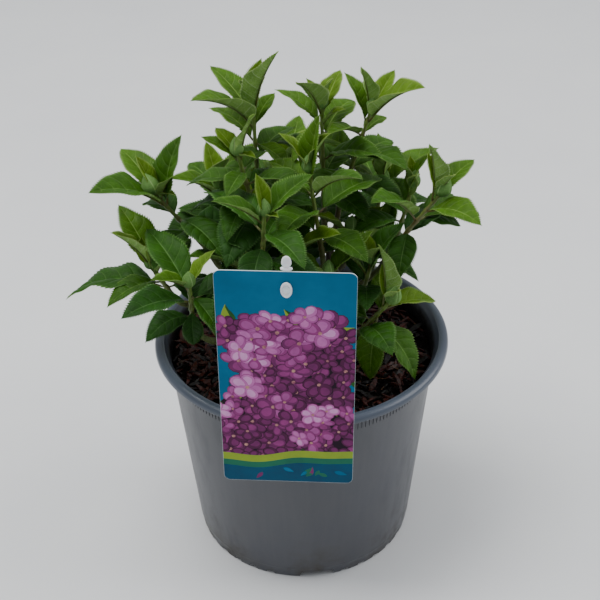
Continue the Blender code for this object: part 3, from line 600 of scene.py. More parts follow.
def stem_radius(share, turn):
    index = min(int(share * 4), 3)
    plain = STEM_RADII[index] + (STEM_RADII[index + 1] - STEM_RADII[index]) * (share * 4 - index)
    rough = STEM_ROUGH_SHARE * roughness_at(turn, share * 14)
    return plain * MM * (1 + rough + STEM_RIDGE_SHARE * math.cos(RIDGES * turn))


# %% Grow the wood
def grow_wood():
    """The stem and its boughs along the same paths as the plain ones."""
    stem_points = [Vector(point) * MM for point in STEM_PATH]
    paths = {"stem": [stem_points[0], *smooth_path(stem_points[1:], 4)]}
    sunk, raised = Vector((0, 0, -5 * MM)), Vector((0, 0, 3 * MM))
    whole = rolled_tube([stem_points[0] + sunk, *paths["stem"], stem_points[-1] + raised], stem_radius,
                        STEM_SIDES, STEM_RINGS)
    for index, (name, (parent, share, bends)) in enumerate(BOUGHS.items()):
        foot, _, way = shoot_ends(name.replace("bough", "shoot"))
        bends = [Vector(bend) * MM for bend in bends]
        start = point_along(paths[parent], share)
        paths[name] = [*smooth_path([start, *bends, foot - way * STRAIGHT_END], 6), foot]
        low = BOUGH_FOOT_RADIUS * (SIDE_BOUGH_SHARE if parent in BOUGHS else 1)
        radius_at = bark_radius(low, sum(path_steps(paths[name])), index)
        gather(whole, rolled_tube([*paths[name], foot + way * 3 * MM], radius_at, BARK_SIDES, BARK_RINGS))
    piece = add_piece("boughs", whole, "bark", bark)
    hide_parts("main_stem", *BOUGHS)


grow_wood()

# %% [markdown]
# ## Leaf colours
# The youngest leaves are yellow-green, the older ones a deep cool green, and every underside is paler and
# greyer with raised veins; the underside colour is lighter still, as painted light against the shade that
# falls on it. Side veins and the fine net between them follow the leaf's own UV map, where each vein is a
# straight line. That is one node group for all leaf materials.

# %% Leaf vein group
VEIN_PAIRS = 6

veins, source, sink = new_group(
    "leaf veins", {"Vector UV": None, "Pairs": VEIN_PAIRS, "Thickness": 0.042}, "Vein", "Net", "Margin")


def off_middle(value):
    """How far a value from 0 to 1 is from a half."""
    return veins.calculate("ABSOLUTE", veins.calculate("SUBTRACT", value, 0.5))


parts = veins.node("SeparateXYZ", {0: source["Vector UV"]}).outputs
phase = veins.calculate("FRACT", veins.calculate("MULTIPLY", parts[1], source["Pairs"]))
off_vein = veins.calculate("SUBTRACT", 0.5, off_middle(phase))
off_rib = off_middle(parts[0])
side_vein = veins.calculate("MULTIPLY", veins.spread(off_vein, 0.0, source["Thickness"], 1.0, 0.0), 0.55)
midrib = veins.spread(off_rib, 0.008, 0.026, 1.0, 0.0)
veins.link(veins.calculate("MAXIMUM", side_vein, midrib), sink["Vein"])
stretched = veins.node("Mapping", {"Vector": source["Vector UV"], "Scale": (14, 34, 1)}).outputs[0]
cells = veins.node("TexVoronoi", {"Vector": stretched, "Scale": 1.0}, feature="DISTANCE_TO_EDGE")
veins.link(veins.spread(cells.outputs[0], 0.0, 0.10, 1.0, 0.0), sink["Net"])
# A thin pale band along the leaf's edge, painted as a highlight
veins.link(veins.spread(off_rib, 0.472, 0.498), sink["Margin"])
print("leaf vein group:", len(veins.tree.nodes), "nodes")


# %% Leaf materials
def leaf_material(name, blade, shade, vein, roughness, vein_share, net_share):
    """A leaf skin: blotchy blade colour, paler veins, a fine net and a painted highlight along the margin."""
    skin = Skin(name, Specular_IOR_Level=0.13)
    lines = skin.group(veins, {"Vector UV": skin.node("UVMap").outputs[0]})
    place = skin.place()
    colour = skin.mix(skin.mottled(place, 30), blade, shade)
    colour = skin.stain(skin.mottled(place, 140), 0.35, colour, shade, "MULTIPLY")
    # The last of these paints a highlight along the leaf's edge
    for line, share in (("Net", net_share), ("Vein", vein_share), ("Margin", 0.55)):
        colour = skin.stain(lines[line], share, colour, vein)
    gloss = skin.spread(skin.mottled(place, 160), 0, 1, roughness - 0.07, roughness + 0.07)
    skin.link(gloss, skin.shader["Roughness"])
    net = skin.calculate("MULTIPLY", lines["Net"], 0.5)
    relief = skin.calculate("SUBTRACT", skin.calculate("MULTIPLY", skin.grain(place, 2600), 0.6), net)
    return skin.finish(colour, skin.calculate("SUBTRACT", relief, lines["Vein"]), 0.00025, 0.5)


leaf_tops = {label: leaf_material("leaf top " + label, *values) for label, *values in (
    ("budding", "587c0a", "4a6a06", "a2b864", 0.55, 0.54, 0.14),
    ("young", "446c08", "375a04", "8aa856", 0.53, 0.54, 0.12),
    ("grown", "365f06", "2a4f03", "789a50", 0.52, 0.52, 0.10),
    ("old", "2a5606", "204703", "6a904c", 0.52, 0.48, 0.08),
    ("oldest", "20490c", "173b07", "5a8046", 0.52, 0.44, 0.08),
)}
# Undersides are paler and greyer as real ones are, and lighter still as painted light against their shade
leaf_under = leaf_material("leaf underside", "86ac50", "789e48", "cadcae", 0.62, 0.85, 0.24)
bud_skin = leaf_material("bud skin", "6c944c", "588040", "a2c07e", 0.60, 0.66, 0.16)

# %% [markdown]
# ## Fine leaves
# A leaf is a toothed oval drawn out to a point. Its blade is folded along the midrib, puffed up
# between the side veins and wavy near the margin, and no two are alike. The grid's rows are laid
# along the side veins, so the relief and the teeth fall in the right places with few faces.

# %% Character of a leaf
def leaf_character(leaf, dice):
    """What makes one leaf unlike the next: fold, curl, waves, a bend to one side, a twist."""
    age = leaf["age"]
    return {
        "fold": math.radians(42 - 22 * age + dice.uniform(-5, 5)),
        "puff": leaf["length"] * (0.007 + 0.011 * age),
        "wave": dice.uniform(0.03, 0.09),
        "phase": dice.uniform(0, math.tau),
        "sickle": dice.uniform(-0.10, 0.10),
        "twist": dice.uniform(-0.35, 0.35),
        "curl": dice.uniform(0.02, 0.12) + 0.05 * age,
        "droop": dice.uniform(-0.02, 0.06) + 0.03 * age,
    }


def spine_point(base, leaf, share):
    """A point on the midrib."""
    along, side, up = leaf["ways"]
    length = leaf["length"]
    bow = leaf["bow"] * length * 4 * share * (1 - share) - leaf["droop"] * length * share ** 3
    bend = leaf["sickle"] * length * share * (1 - share)
    return base + along * (share * length) + up * bow + side * bend


# %% Blade of a leaf
BLADE_ACROSS = 10
BLADE_START = 0.11
BLADE_THICKNESS = 0.28 * MM
TEETH = 24
ROWS_PER_TOOTH = 3
BLADE_ALONG = TEETH * ROWS_PER_TOOTH
TOOTH = 1.15 * MM
VEIN_SLANT = 0.24


def blade_point(base, leaf, across, row):
    """A point of the blade, from its place in the grid."""
    along, side, up = leaf["ways"]
    s = abs(across)
    t = row + VEIN_SLANT * (0.5 * s + 0.5 * s ** 2.4) * 1.9 * row ** 0.45 * (1 - row)
    share = BLADE_START + (1 - BLADE_START) * t
    half = leaf["width"] / 2 * math.sin(math.pi * min(t, 1) ** 0.82) ** (0.85 + 0.28 * t) + 0.5 * MM * (1 - t)
    reach = s ** 1.15 * half
    fold = leaf["fold"] * (1 - 0.35 * t)
    puff = math.sin(math.pi * ((row * VEIN_PAIRS) % 1)) ** 0.7 * min(1.0, s * 5) * (1 - s ** 4)
    wave = math.sin(2.6 * math.tau * t + leaf["phase"] + (across > 0))
    lift = (reach * math.sin(fold) - leaf["curl"] * half * s ** 3
            + leaf["puff"] * puff * min(1, half / (4 * MM)) + leaf["wave"] * half * s ** 2 * wave)
    tooth = 0.0
    if s > 0.99 and half > 0.7 * MM:
        step = round(row * BLADE_ALONG) % ROWS_PER_TOOTH / (ROWS_PER_TOOTH - 1)
        tooth = TOOTH * step * min(1.0, leaf["length"] / 0.036) * min(1.0, half / (2.6 * MM))
    out = math.copysign(reach * math.cos(fold) + tooth, across)
    twist = leaf["twist"] * share
    turned = side * math.cos(twist) + up * math.sin(twist)
    raised = up * math.cos(twist) - side * math.sin(twist)
    return spine_point(base, leaf, share) + turned * out + raised * lift + along * tooth * 0.9


def fine_blade(base, leaf):
    shape = bent_grid(BLADE_ACROSS, BLADE_ALONG, lambda across, row: blade_point(base, leaf, across, row))
    bmesh.ops.reverse_faces(shape, faces=shape.faces[:])
    return shape


# %% Stalk and midrib
STALK_RADIUS = 0.85 * MM
STALK_POINTS = 13
STALK_SIDES, STALK_RINGS = 6, 14
# The longest leaf whose stalk is still thinner than the others
SHORT_LEAF = 0.042
# How far along the leaf the midrib goes
RIB_END = 0.94


def fine_rib(base, leaf):
    """The stalk and the midrib under the blade as one tapering tube."""
    thick = STALK_RADIUS * min(1.0, leaf["length"] / SHORT_LEAF)
    path = []
    for index in range(STALK_POINTS):
        share = index / (STALK_POINTS - 1) * RIB_END
        path.append(spine_point(base, leaf, share) - leaf["ways"][2] * thick * (0.85 - 0.5 * share))
    return rolled_tube(path, lambda share, turn: thick * (1.0 - 0.78 * min(1, share * 1.15) ** 0.7),
                       STALK_SIDES, STALK_RINGS)


# %% [markdown]
# The closed pair at each tip is an egg of two cupped leaves, face to face, so what shows is their
# veined underside. Each half is a grid bent round the egg, a little past its edge.

# %% Closed buds
BUD_HALF_WIDTH = 4.2 * MM
BUD_HEIGHT = 12.0 * MM
BUD_WRAP = math.radians(96)
BUD_UPTURN = 1.2
BUD_ACROSS, BUD_ALONG = 14, 28
BIG_BUDS = {"shoot_left": 1.5, "shoot_right": 1.4, "shoot_centre": 1.15, "shoot_front_right": 1.25}


def fine_bud(foot, way, azimuth, tall):
    """One cupped half of a closed bud that stands on the shoot's tip."""
    side = Vector((math.cos(azimuth), math.sin(azimuth), 0))
    side = (side - way * side.dot(way)).normalized()
    cross = way.cross(side)

    def cup(across, row):
        girth = BUD_HALF_WIDTH * tall * (math.sin(math.pi * row ** 0.72) ** 0.9 * 0.97 + 0.10 * (1 - row))
        ridge = 1 + 0.035 * math.cos(across * math.pi * 5) * math.sin(math.pi * row)
        turn = across * BUD_WRAP * (1 - 0.12 * row)
        reach = girth * ridge * (1.0 if abs(across) < 0.9 else 0.97)
        return (foot + way * (row * BUD_HEIGHT * tall) + side * reach * math.cos(turn) * 0.93
                + cross * reach * math.sin(turn))
    return bent_grid(BUD_ACROSS, BUD_ALONG, cup)


# %% [markdown]
# A leaf's colour goes by its age, with painted shade on the shoots low down, inside the crown, at the rear,
# in the middle and in front, and painted light on those at the back, at the top, far out and at the front
# right. The leaves of one colour make up one piece, and stalks and buds are pieces of their own.

# %% Colour of a leaf
# Painted shade on the leaves of a shoot, by its whole name or by the first word of its place: how much darker
# its leaves are made, and below nought, how much lighter they are made as painted light
PAINTED_SHADE_AND_LIGHT = {"low": 0.30, "inner": 0.16, "rear": 0.06, "front": 0.30, "centre": 0.14, "back": -0.10,
         "upper": -0.10, "far": -0.08, "shoot_front_left": 0.44, "shoot_front_right": -0.10}


def age_class(name, age, dice):
    """Which of the leaf colours, from the youngest."""
    # The shoot's painted shade or painted light moves the leaf to a darker or a lighter colour
    shade = PAINTED_SHADE_AND_LIGHT.get(name, PAINTED_SHADE_AND_LIGHT.get(name.split("_")[1], 0)) * (0.35 + 0.65 * min(1, 3 * age))
    share = 0.10 + 0.66 * age + shade + dice.uniform(-0.07, 0.07)
    return max(0, min(len(leaf_tops) - 1, int(len(leaf_tops) * share)))


# %% Young stems
SHOOT_SIDES, SHOOT_RINGS = 12, 40
SWELLING_REACH = 1.6 * MM


def shoot_radius(pairs, length, seed):
    """Radius along a shoot: tapering, faintly ridged, and swollen at each pair of leaves."""
    def radius_at(share, turn):
        plain = (BOUGH_TIP_RADIUS + (SHOOT_TIP_RADIUS - BOUGH_TIP_RADIUS) * share) * MM
        swelling = sum(0.32 * math.exp(-(((share - 1) * length + drop * MM) / SWELLING_REACH) ** 2)
                       for drop, *_ in pairs)
        return plain * (0.86 + 0.05 * math.cos(6 * turn + seed) + swelling)
    return radius_at


# %% Grow all leaves
LEAF_SEED = 100


def grow_leaves():
    """Every placed leaf as a fine one, gathered by age, with stalks and buds apart."""
    blades = [bmesh.new() for _ in leaf_tops]
    stalks, buds = bmesh.new(), bmesh.new()
    for number, (name, leaves) in enumerate(placed_leaves.items()):
        foot, tip, way = shoot_ends(name)
        turn, pairs = SHOOTS[name][2:]
        dice = random.Random(LEAF_SEED + number)
        radius_at = shoot_radius(pairs, (tip - foot).length, number)
        gather(stalks, rolled_tube([foot - way * MM, tip + way * MM], radius_at, SHOOT_SIDES, SHOOT_RINGS))
        for base, leaf in leaves:
            leaf = {**leaf, **leaf_character(leaf, dice), "ways": leaf_ways(leaf)}
            gather(blades[age_class(name, leaf["age"], dice)], fine_blade(base, leaf))
            gather(stalks, fine_rib(base, leaf))
        azimuth = math.radians(turn + 90 * len(pairs) + dice.uniform(-9, 9))
        tall = dice.uniform(0.85, 1.05) * BIG_BUDS.get(name, 1)
        up = (way + Vector((0, 0, BUD_UPTURN))).normalized()
        for half in (0, 1):
            gather(buds, fine_bud(tip - up * 2 * MM, up, azimuth + half * math.pi, tall))
    pieces = [add_piece("leaves_" + label, blade, "foliage", top, leaf_under)
              for (label, top), blade in zip(leaf_tops.items(), blades)]
    pieces.append(add_piece("buds", buds, "foliage", bud_skin, leaf_under))
    for piece in pieces:
        thick = piece.modifiers.new("thickness", "SOLIDIFY")
        thick.thickness = BLADE_THICKNESS
        thick.offset = -1
        thick.material_offset = 1
    pieces.append(add_piece("leaf_stalks", stalks, "foliage", green_stem))
    for piece in pieces:
        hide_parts(*SHOOTS)


grow_leaves()

# %% [markdown]
# ## Pot
# A thin injection-moulded nursery pot: a tapered wall, a convex rim turned over it, and a standing
# ring with notches that let water out. It is turned from a half profile with the spin operator. The
# row of short ribs under the rim is one small bar, spun round with duplicates.

# %% Pot measures
POT_HEIGHT = 0.150
RIM_RADIUS = 0.095
RIM_INNER_RADIUS = 0.0885
RIM_FOOT = POT_HEIGHT - 0.0048
WALL_TOP_RADIUS = 0.0866
WALL_TOP = 0.1415
BASE_RADIUS = 0.0726
WALL_SLOPE = (WALL_TOP_RADIUS - BASE_RADIUS) / WALL_TOP
WALL = 0.0016
RING_WIDTH = 0.0068
FLOOR_RISE = 0.0046
FLOOR_TOP = 0.0064
PAD_RADIUS = 0.013
NOTCH_ANGLE = math.radians(276)
POT_STEPS = 216


def wall_radius(height):
    return BASE_RADIUS + WALL_SLOPE * height


def spun(profile, steps):
    """A closed solid turned from (radius, height) points that start and end on the axis."""
    shape = bmesh.new()
    points = [shape.verts.new((radius, 0, height)) for radius, height in profile]
    line = [shape.edges.new(pair) for pair in zip(points, points[1:])]
    bmesh.ops.spin(shape, geom=points + line, cent=(0, 0, 0), axis=(0, 0, 1), dvec=(0, 0, 0),
                   angle=math.tau, steps=steps, use_merge=True, use_duplicate=False)
    bmesh.ops.remove_doubles(shape, verts=shape.verts[:], dist=WELD)
    return outward(shape)


# %% Pot material
def pot_plastic():
    """Satin grey plastic: faint drawn streaks, scuffs, dust towards the foot, a glossier rim with a painted
    bluish reflection, and painted shade on the inner wall under the rim.
    """
    skin = Skin("grey pot plastic")
    place = skin.place()
    across, _, height = skin.node("SeparateXYZ", {0: place}).outputs
    rim = skin.spread(height, WALL_TOP + 0.002, WALL_TOP + 0.005)
    colour = skin.mix(skin.mottled(skin.place((1, 1, 0.05)), 260, 0.3, 0.7), "3f4148", "43454b")
    colour = skin.stain(skin.mottled(place, 24, 0.35, 0.7), 0.35, colour, "48484a")
    # The rim's bluer, lighter tone is a painted reflection of the sky
    colour = skin.mix(rim, colour, "424a57")
    specks = skin.calculate("MULTIPLY", skin.mottled(place, 900, 0.70, 0.74), skin.spread(rim, 0, 1, 1, 0.2))
    colour = skin.stain(specks, 0.3, colour, "6f6e69")
    dirt = skin.calculate("MULTIPLY", skin.mottled(place, 48, 0.50, 0.72), skin.spread(height, 0.045, 0.0))
    colour = skin.stain(dirt, 0.8, colour, "3a3427")
    moss = skin.calculate("MULTIPLY", skin.mottled(place, 120, 0.36, 0.52), skin.spread(height, 0.024, 0.006))
    moss = skin.calculate("MULTIPLY", moss, skin.spread(across, -0.025, -0.06))
    colour = skin.stain(moss, 0.9, colour, "28241a")
    flat = skin.node("VectorMath", {0: place, 1: (1, 1, 0)}, operation="MULTIPLY").outputs[0]
    reach = skin.node("VectorMath", {0: flat}, operation="LENGTH").outputs["Value"]
    off_wall = skin.calculate("SUBTRACT", reach, skin.calculate("MULTIPLY", height, WALL_SLOPE))
    inside = skin.spread(off_wall, BASE_RADIUS - 0.0006, BASE_RADIUS - 0.0010)
    ragged = skin.calculate("ADD", height, skin.calculate("MULTIPLY", skin.mottled(place, 150), 0.005))
    # Painted shade: the inner wall goes near-black from a ragged line under the rim down to the soil
    painted_inner_shade = skin.calculate("MULTIPLY", inside, skin.spread(ragged, 0.1475, 0.1435))
    colour = skin.stain(painted_inner_shade, 0.88, colour, "0b0807")
    gloss = skin.spread(skin.mottled(skin.place((1, 1, 0.25)), 120, 0.45, 0.7), 0, 1, 0.36, 0.46)
    gloss = skin.calculate("MULTIPLY", gloss, skin.spread(rim, 0, 1, 1, 0))
    gloss = skin.calculate("ADD", gloss, skin.spread(rim, 0, 1, 0, 0.30))
    gloss = skin.calculate("ADD", gloss, skin.spread(dirt, 0, 1, 0, 0.3))
    skin.link(gloss, skin.shader["Roughness"])
    return skin.finish(colour, skin.grain(place, 1500), 0.00007, 0.3)


grey_plastic = pot_plastic()

# %% Pot body
# Places over the rim, from its inner edge to its outer one, as radius and height
OVER_RIM = ((RIM_INNER_RADIUS - 0.0022, WALL_TOP + 0.0035), (RIM_INNER_RADIUS - 0.0004, POT_HEIGHT - 0.0022),
            (RIM_INNER_RADIUS + 0.0008, POT_HEIGHT - 0.0005), (RIM_INNER_RADIUS + 0.0030, POT_HEIGHT),
            (RIM_RADIUS - 0.0016, POT_HEIGHT - 0.0006), (RIM_RADIUS - 0.0003, POT_HEIGHT - 0.0020),
            (RIM_RADIUS, RIM_FOOT + 0.0006), (RIM_RADIUS - 0.0005, RIM_FOOT))


def pot_profile():
    """The pot's half profile, from the middle of its floor over the rim to the middle of its pad."""
    rounded = smooth_path([(radius, 0, height) for radius, height in OVER_RIM], 3)
    return [
        (0, FLOOR_TOP), (wall_radius(FLOOR_TOP) - WALL, FLOOR_TOP),
        (WALL_TOP_RADIUS - WALL, WALL_TOP - 0.002), *((point.x, point.z) for point in rounded),
        (RIM_RADIUS - 0.0020, RIM_FOOT + 0.0002), (RIM_RADIUS - 0.0026, RIM_FOOT + 0.0018),
        (WALL_TOP_RADIUS + 0.0012, RIM_FOOT + 0.0006), (WALL_TOP_RADIUS + 0.0006, RIM_FOOT - 0.0012),
        (WALL_TOP_RADIUS, WALL_TOP), (wall_radius(0.1200), 0.1200), (wall_radius(0.0700), 0.0700),
        (wall_radius(0.0084) + 0.0001, 0.0084), (wall_radius(0.0078) + 0.0001, 0.0080),
        (wall_radius(0.0074) - 0.0003, 0.0074), (wall_radius(0.0040) - 0.0003, 0.0040),
        (BASE_RADIUS - 0.0002, 0.0010), (BASE_RADIUS - 0.0004, 0.0004), (BASE_RADIUS - 0.0010, 0),
        (BASE_RADIUS - RING_WIDTH, 0), (BASE_RADIUS - RING_WIDTH - 0.0006, FLOOR_RISE),
        (PAD_RADIUS + 0.002, FLOOR_RISE), (PAD_RADIUS, 0), (0, 0),
    ]


def cut_away(shape, cutters):
    """The bmesh less the cutters, which are bmeshes too."""
    body = add_object("body", mesh_of("body", shape))
    leftovers = [body]
    for cutter in cutters:
        modifier = body.modifiers.new("cut", "BOOLEAN")
        modifier.operation = "DIFFERENCE"
        modifier.object = add_object("cutter", mesh_of("cutter", outward(cutter)))
        leftovers.append(modifier.object)
    result = bpy.data.meshes.new_from_object(body.evaluated_get(bpy.context.evaluated_depsgraph_get()))
    shape = bmesh.new()
    shape.from_mesh(result)
    for leftover in leftovers:
        bpy.data.objects.remove(leftover)
    return shape


# %% Notches and drain holes
NOTCH_WIDTH = 0.0245
SCALLOP_COUNT = 36
SCALLOP_WIDTH = 0.0085
SCALLOP_HEIGHT = 0.0021
HOLE_COUNT = 6
HOLE_CIRCLE = 0.046
HOLE_RADIUS = 0.004


def add_notch(shape, angle, width, height, top_share):
    """One notch to cut from the ring: a bar narrower at its top, across the ring at an angle."""
    reach = BASE_RADIUS - RING_WIDTH / 2
    place = Matrix.Rotation(angle, 4, "Z") @ Matrix.Translation((reach, 0, 0))
    for vert in bmesh.ops.create_cube(shape, size=1.0)["verts"]:
        share, level = (top_share, height) if vert.co.z > 0 else (1.06, -height)
        vert.co = place @ Vector((vert.co.x * 2.4 * RING_WIDTH, vert.co.y * width * share, level))


def hole_cutter(angle):
    shape = bmesh.new()
    place = Vector((HOLE_CIRCLE * math.cos(angle), HOLE_CIRCLE * math.sin(angle), FLOOR_TOP / 2))
    bmesh.ops.create_cone(shape, cap_ends=True, segments=24, radius1=HOLE_RADIUS, radius2=HOLE_RADIUS,
                          depth=FLOOR_TOP * 2, matrix=Matrix.Translation(place))
    return shape


thirds = [NOTCH_ANGLE + math.tau * index / 3 for index in range(3)]
notches = bmesh.new()
for angle in thirds:
    add_notch(notches, angle, NOTCH_WIDTH, FLOOR_RISE * 0.9, 0.84)
for index in range(SCALLOP_COUNT):
    angle = NOTCH_ANGLE + math.tau * (index + 0.5) / SCALLOP_COUNT
    off_notch = min(abs(math.remainder(angle - third, math.tau)) for third in thirds) * BASE_RADIUS
    if off_notch > 0.7 * NOTCH_WIDTH:
        add_notch(notches, angle, SCALLOP_WIDTH, SCALLOP_HEIGHT, 0.5)
holes = [hole_cutter(math.tau * (index + 0.5) / HOLE_COUNT) for index in range(HOLE_COUNT)]
print("cut from the pot:", len(notches.faces) // 6, "notches and scallops,", HOLE_COUNT, "holes")
pot_shape = cut_away(spun(pot_profile(), POT_STEPS), [notches, *holes])

# %% Ribs and the finished pot
RIB_COUNT = 204
RIB_HEIGHT = 8.5 * MM
RIB_MIDDLE = WALL_TOP - 0.4 * MM - RIB_HEIGHT / 2
# How far each side of a rib stands out from the wall, and how wide it is there
RIB_OUTER_TOP, RIB_OUTER_LOW, RIB_OUTER_WIDTH = 0.55 * MM, 0.35 * MM, 0.8 * MM
RIB_INNER, RIB_INNER_WIDTH = -0.4 * MM, 1.3 * MM

rib_shape = bmesh.new()
for vert in bmesh.ops.create_cube(rib_shape, size=1.0)["verts"]:
    height = RIB_MIDDLE + vert.co.z * RIB_HEIGHT
    off_wall, width = RIB_INNER, RIB_INNER_WIDTH
    if vert.co.x > 0:
        off_wall, width = RIB_OUTER_TOP if vert.co.z > 0 else RIB_OUTER_LOW, RIB_OUTER_WIDTH
    vert.co = Vector((wall_radius(height) + off_wall, vert.co.y * width, height))
bmesh.ops.spin(rib_shape, geom=rib_shape.verts[:] + rib_shape.edges[:] + rib_shape.faces[:], cent=(0, 0, 0),
               axis=(0, 0, 1), angle=math.tau * (RIB_COUNT - 1) / RIB_COUNT, steps=RIB_COUNT - 1,
               use_duplicate=True)
gather(pot_shape, outward(rib_shape))
pot_piece = add_piece("nursery_pot", pot_shape, "pot_plastic", grey_plastic)
pot_piece.data.set_sharp_from_angle(angle=math.radians(38))
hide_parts("pot")

# %% [markdown]
# ## Soil
# Moist peat is nearly black, and its look comes from what lies in it: crumbs, red-brown shards of
# bark and a few pale straws. A lumpy turned body fills the pot. Crumbs and shards are a few small
# templates of a few faces each, stamped thousands of times in seeded places.

# %% Soil body
SOIL_TOP = 0.138
SOIL_RADIUS = wall_radius(SOIL_TOP - 0.003) - WALL - GAP
SOIL_FOOT = FLOOR_TOP + GAP
SOIL_RINGS = 44
SOIL_STEPS = 160


def soil_height(x, y):
    """Height of the lumpy surface at a place."""
    reach = math.hypot(x, y) / SOIL_RADIUS
    lumps = noise.fractal(Vector((x * 70, y * 70, 3.1)), 0.9, 2.1, 4)
    return SOIL_TOP - 2.6 * MM * reach ** 2 + 1.7 * MM * lumps - 0.6 * MM


def peat_material():
    skin = Skin("dark peat", Roughness=0.95, Specular_IOR_Level=0.08)
    place = skin.place()
    colour = skin.mix(skin.mottled(place, 260), "070504", "100a08")
    colour = skin.mix(skin.mottled(place, 900, 0.55, 0.70), colour, "030202")
    return skin.finish(colour, skin.grain(place, 1100), 0.0012, 0.9)


peat = peat_material()
soil_profile = [(SOIL_RADIUS * index / SOIL_RINGS, SOIL_TOP) for index in range(SOIL_RINGS + 1)]
soil_profile += [(wall_radius(SOIL_FOOT) - WALL - GAP, SOIL_FOOT), (0, SOIL_FOOT)]
soil_shape = spun(soil_profile, SOIL_STEPS)
for vert in soil_shape.verts:
    if vert.co.z > SOIL_TOP - 0.01:
        vert.co.z = soil_height(vert.co.x, vert.co.y)
soil_piece = add_piece("peat_surface", outward(soil_shape), "potting_soil", peat)
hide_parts("soil")

# %% Finishes of the chips
def chip_material(name, dark, light):
    skin = Skin(name, Roughness=0.45, Specular_IOR_Level=0.22)
    place = skin.place()
    colour = skin.mix(skin.mottled(place, 420), dark, light)
    colour = skin.mix(skin.mottled(skin.place((1, 0.3, 1)), 1500, 0.5, 0.6), colour, dark)
    return skin.finish(colour, skin.grain(place, 2200), 0.0004, 0.7)


red_chips = chip_material("red brown bark", "1c0a08", "4c1d14")
dark_chips = chip_material("dark bark", "070505", "190d0b")
pale_chips = chip_material("pale wood", "4e3424", "7c5a40")


# %% Templates of crumbs and shards
TEMPLATE_SEED = 5


def edges_along(shape, axis):
    """The edges of a unit cube that run along an axis, given by its number."""
    return [edge for edge in shape.edges if abs((edge.verts[0].co - edge.verts[1].co)[axis]) > 0.5]


def sway_corners(shape, sway, dice):
    """Push each corner a little out of place; gives the finished template mesh."""
    for vert in shape.verts:
        vert.co += Vector((dice.uniform(-sway, sway) for _ in range(3)))
    return mesh_of("template", outward(shape))


def crumb_template(dice):
    """One crumb of a few faces, about a unit long."""
    shape = bmesh.new()
    bmesh.ops.create_icosphere(shape, subdivisions=1, radius=0.5)
    return sway_corners(shape, 0.16, dice)


def shard_template(dice):
    """One shard of bark of a few faces, about a unit long and thin at both ends."""
    shape = bmesh.new()
    bmesh.ops.create_cube(shape, size=1.0)
    bmesh.ops.subdivide_edges(shape, edges=edges_along(shape, 0), cuts=2)
    for vert in shape.verts:
        taper = 1 - 0.55 * abs(vert.co.x * 2) ** 2
        vert.co.y *= 0.20 * taper
        vert.co.z *= 0.12 * taper
    return sway_corners(shape, 0.05, dice)


dice = random.Random(TEMPLATE_SEED)
shards = [shard_template(dice) for _ in range(9)]
crumbs = [crumb_template(dice) for _ in range(7)]
print("faces of a shard and of a crumb:", len(shards[0].polygons), len(crumbs[0].polygons))


# %% Scatter shards and crumbs
SHARD_COUNT = 1300
CRUMB_COUNT = 2600


def scatter(name, templates, count, size_range, tilt, material, seed):
    """Copies of the templates on the soil, in seeded places, turns and sizes."""
    dice = random.Random(seed)
    whole = bmesh.new()
    for _ in range(count):
        reach = (SOIL_RADIUS - 2.5 * MM) * math.sqrt(dice.random())
        turn = dice.uniform(0, math.tau)
        x, y = reach * math.cos(turn), reach * math.sin(turn)
        size = dice.uniform(*size_range) * MM * dice.uniform(0.6, 1.0)
        place = Matrix.Translation((x, y, soil_height(x, y) + 0.10 * size))
        lean = Euler((dice.uniform(-tilt, tilt), dice.uniform(-tilt, tilt), dice.uniform(0, 6.28)))
        matrix = place @ lean.to_matrix().to_4x4() @ Matrix.Scale(size, 4)
        stamp(whole, dice.choice(templates), matrix)
    add_piece(name, whole, "potting_soil", material, smooth=False)


scatter("bark_shards_red", shards, SHARD_COUNT // 2, (5, 18), 0.45, red_chips, 11)
scatter("bark_shards_dark", shards, SHARD_COUNT // 2, (4, 16), 0.45, dark_chips, 12)
scatter("wood_splinters", shards, SHARD_COUNT // 40, (3, 8), 0.3, pale_chips, 13)
scatter("peat_crumbs", crumbs, CRUMB_COUNT, (0.8, 3.0), 3.0, peat, 14)

# %% Straws
# Straws are added until they have this many faces
STRAW_FACES = 1104
STRAW_SIDES = 5
STRAW_RINGS = 7
STRAW_POINTS = 5
STRAW_SEED = 31


def scatter_straws():
    """Thin bent straws that lie on the soil or stick out of it a little."""
    dice = random.Random(STRAW_SEED)
    whole = bmesh.new()
    while len(whole.faces) < STRAW_FACES:
        x, y = (dice.uniform(-SOIL_RADIUS, SOIL_RADIUS) for _ in range(2))
        turn, length = dice.uniform(0, math.tau), dice.uniform(8, 24) * MM
        rise = dice.uniform(0.5, 4) * MM
        path = []
        for index in range(STRAW_POINTS):
            share = index / (STRAW_POINTS - 1)
            way = turn + 0.5 * share
            spot_x, spot_y = x + share * length * math.cos(way), y + share * length * math.sin(way)
            path.append(Vector((spot_x, spot_y, soil_height(spot_x, spot_y) + 0.6 * MM + rise * share ** 2)))
        if max(math.hypot(point.x, point.y) for point in path) < SOIL_RADIUS - 4 * MM:
            thick = dice.uniform(0.22, 0.42) * MM
            gather(whole, rolled_tube(path, lambda share, around: thick * (1 - 0.6 * share),
                                      STRAW_SIDES, STRAW_RINGS))
    add_piece("straws", whole, "potting_soil", pale_chips)


scatter_straws()

# %% [markdown]
# ## Label card
# The card is a thin plastic sheet, printed to its rounded edges, whose cut edge shows pale. The
# solid card has the right shape, so it stays and only gets a material. The print lies on its front:
# a teal ground, round posies of five-petalled blossoms, simple leaves and a plain lime ribbon. It is
# a design of its own, without any lettering.

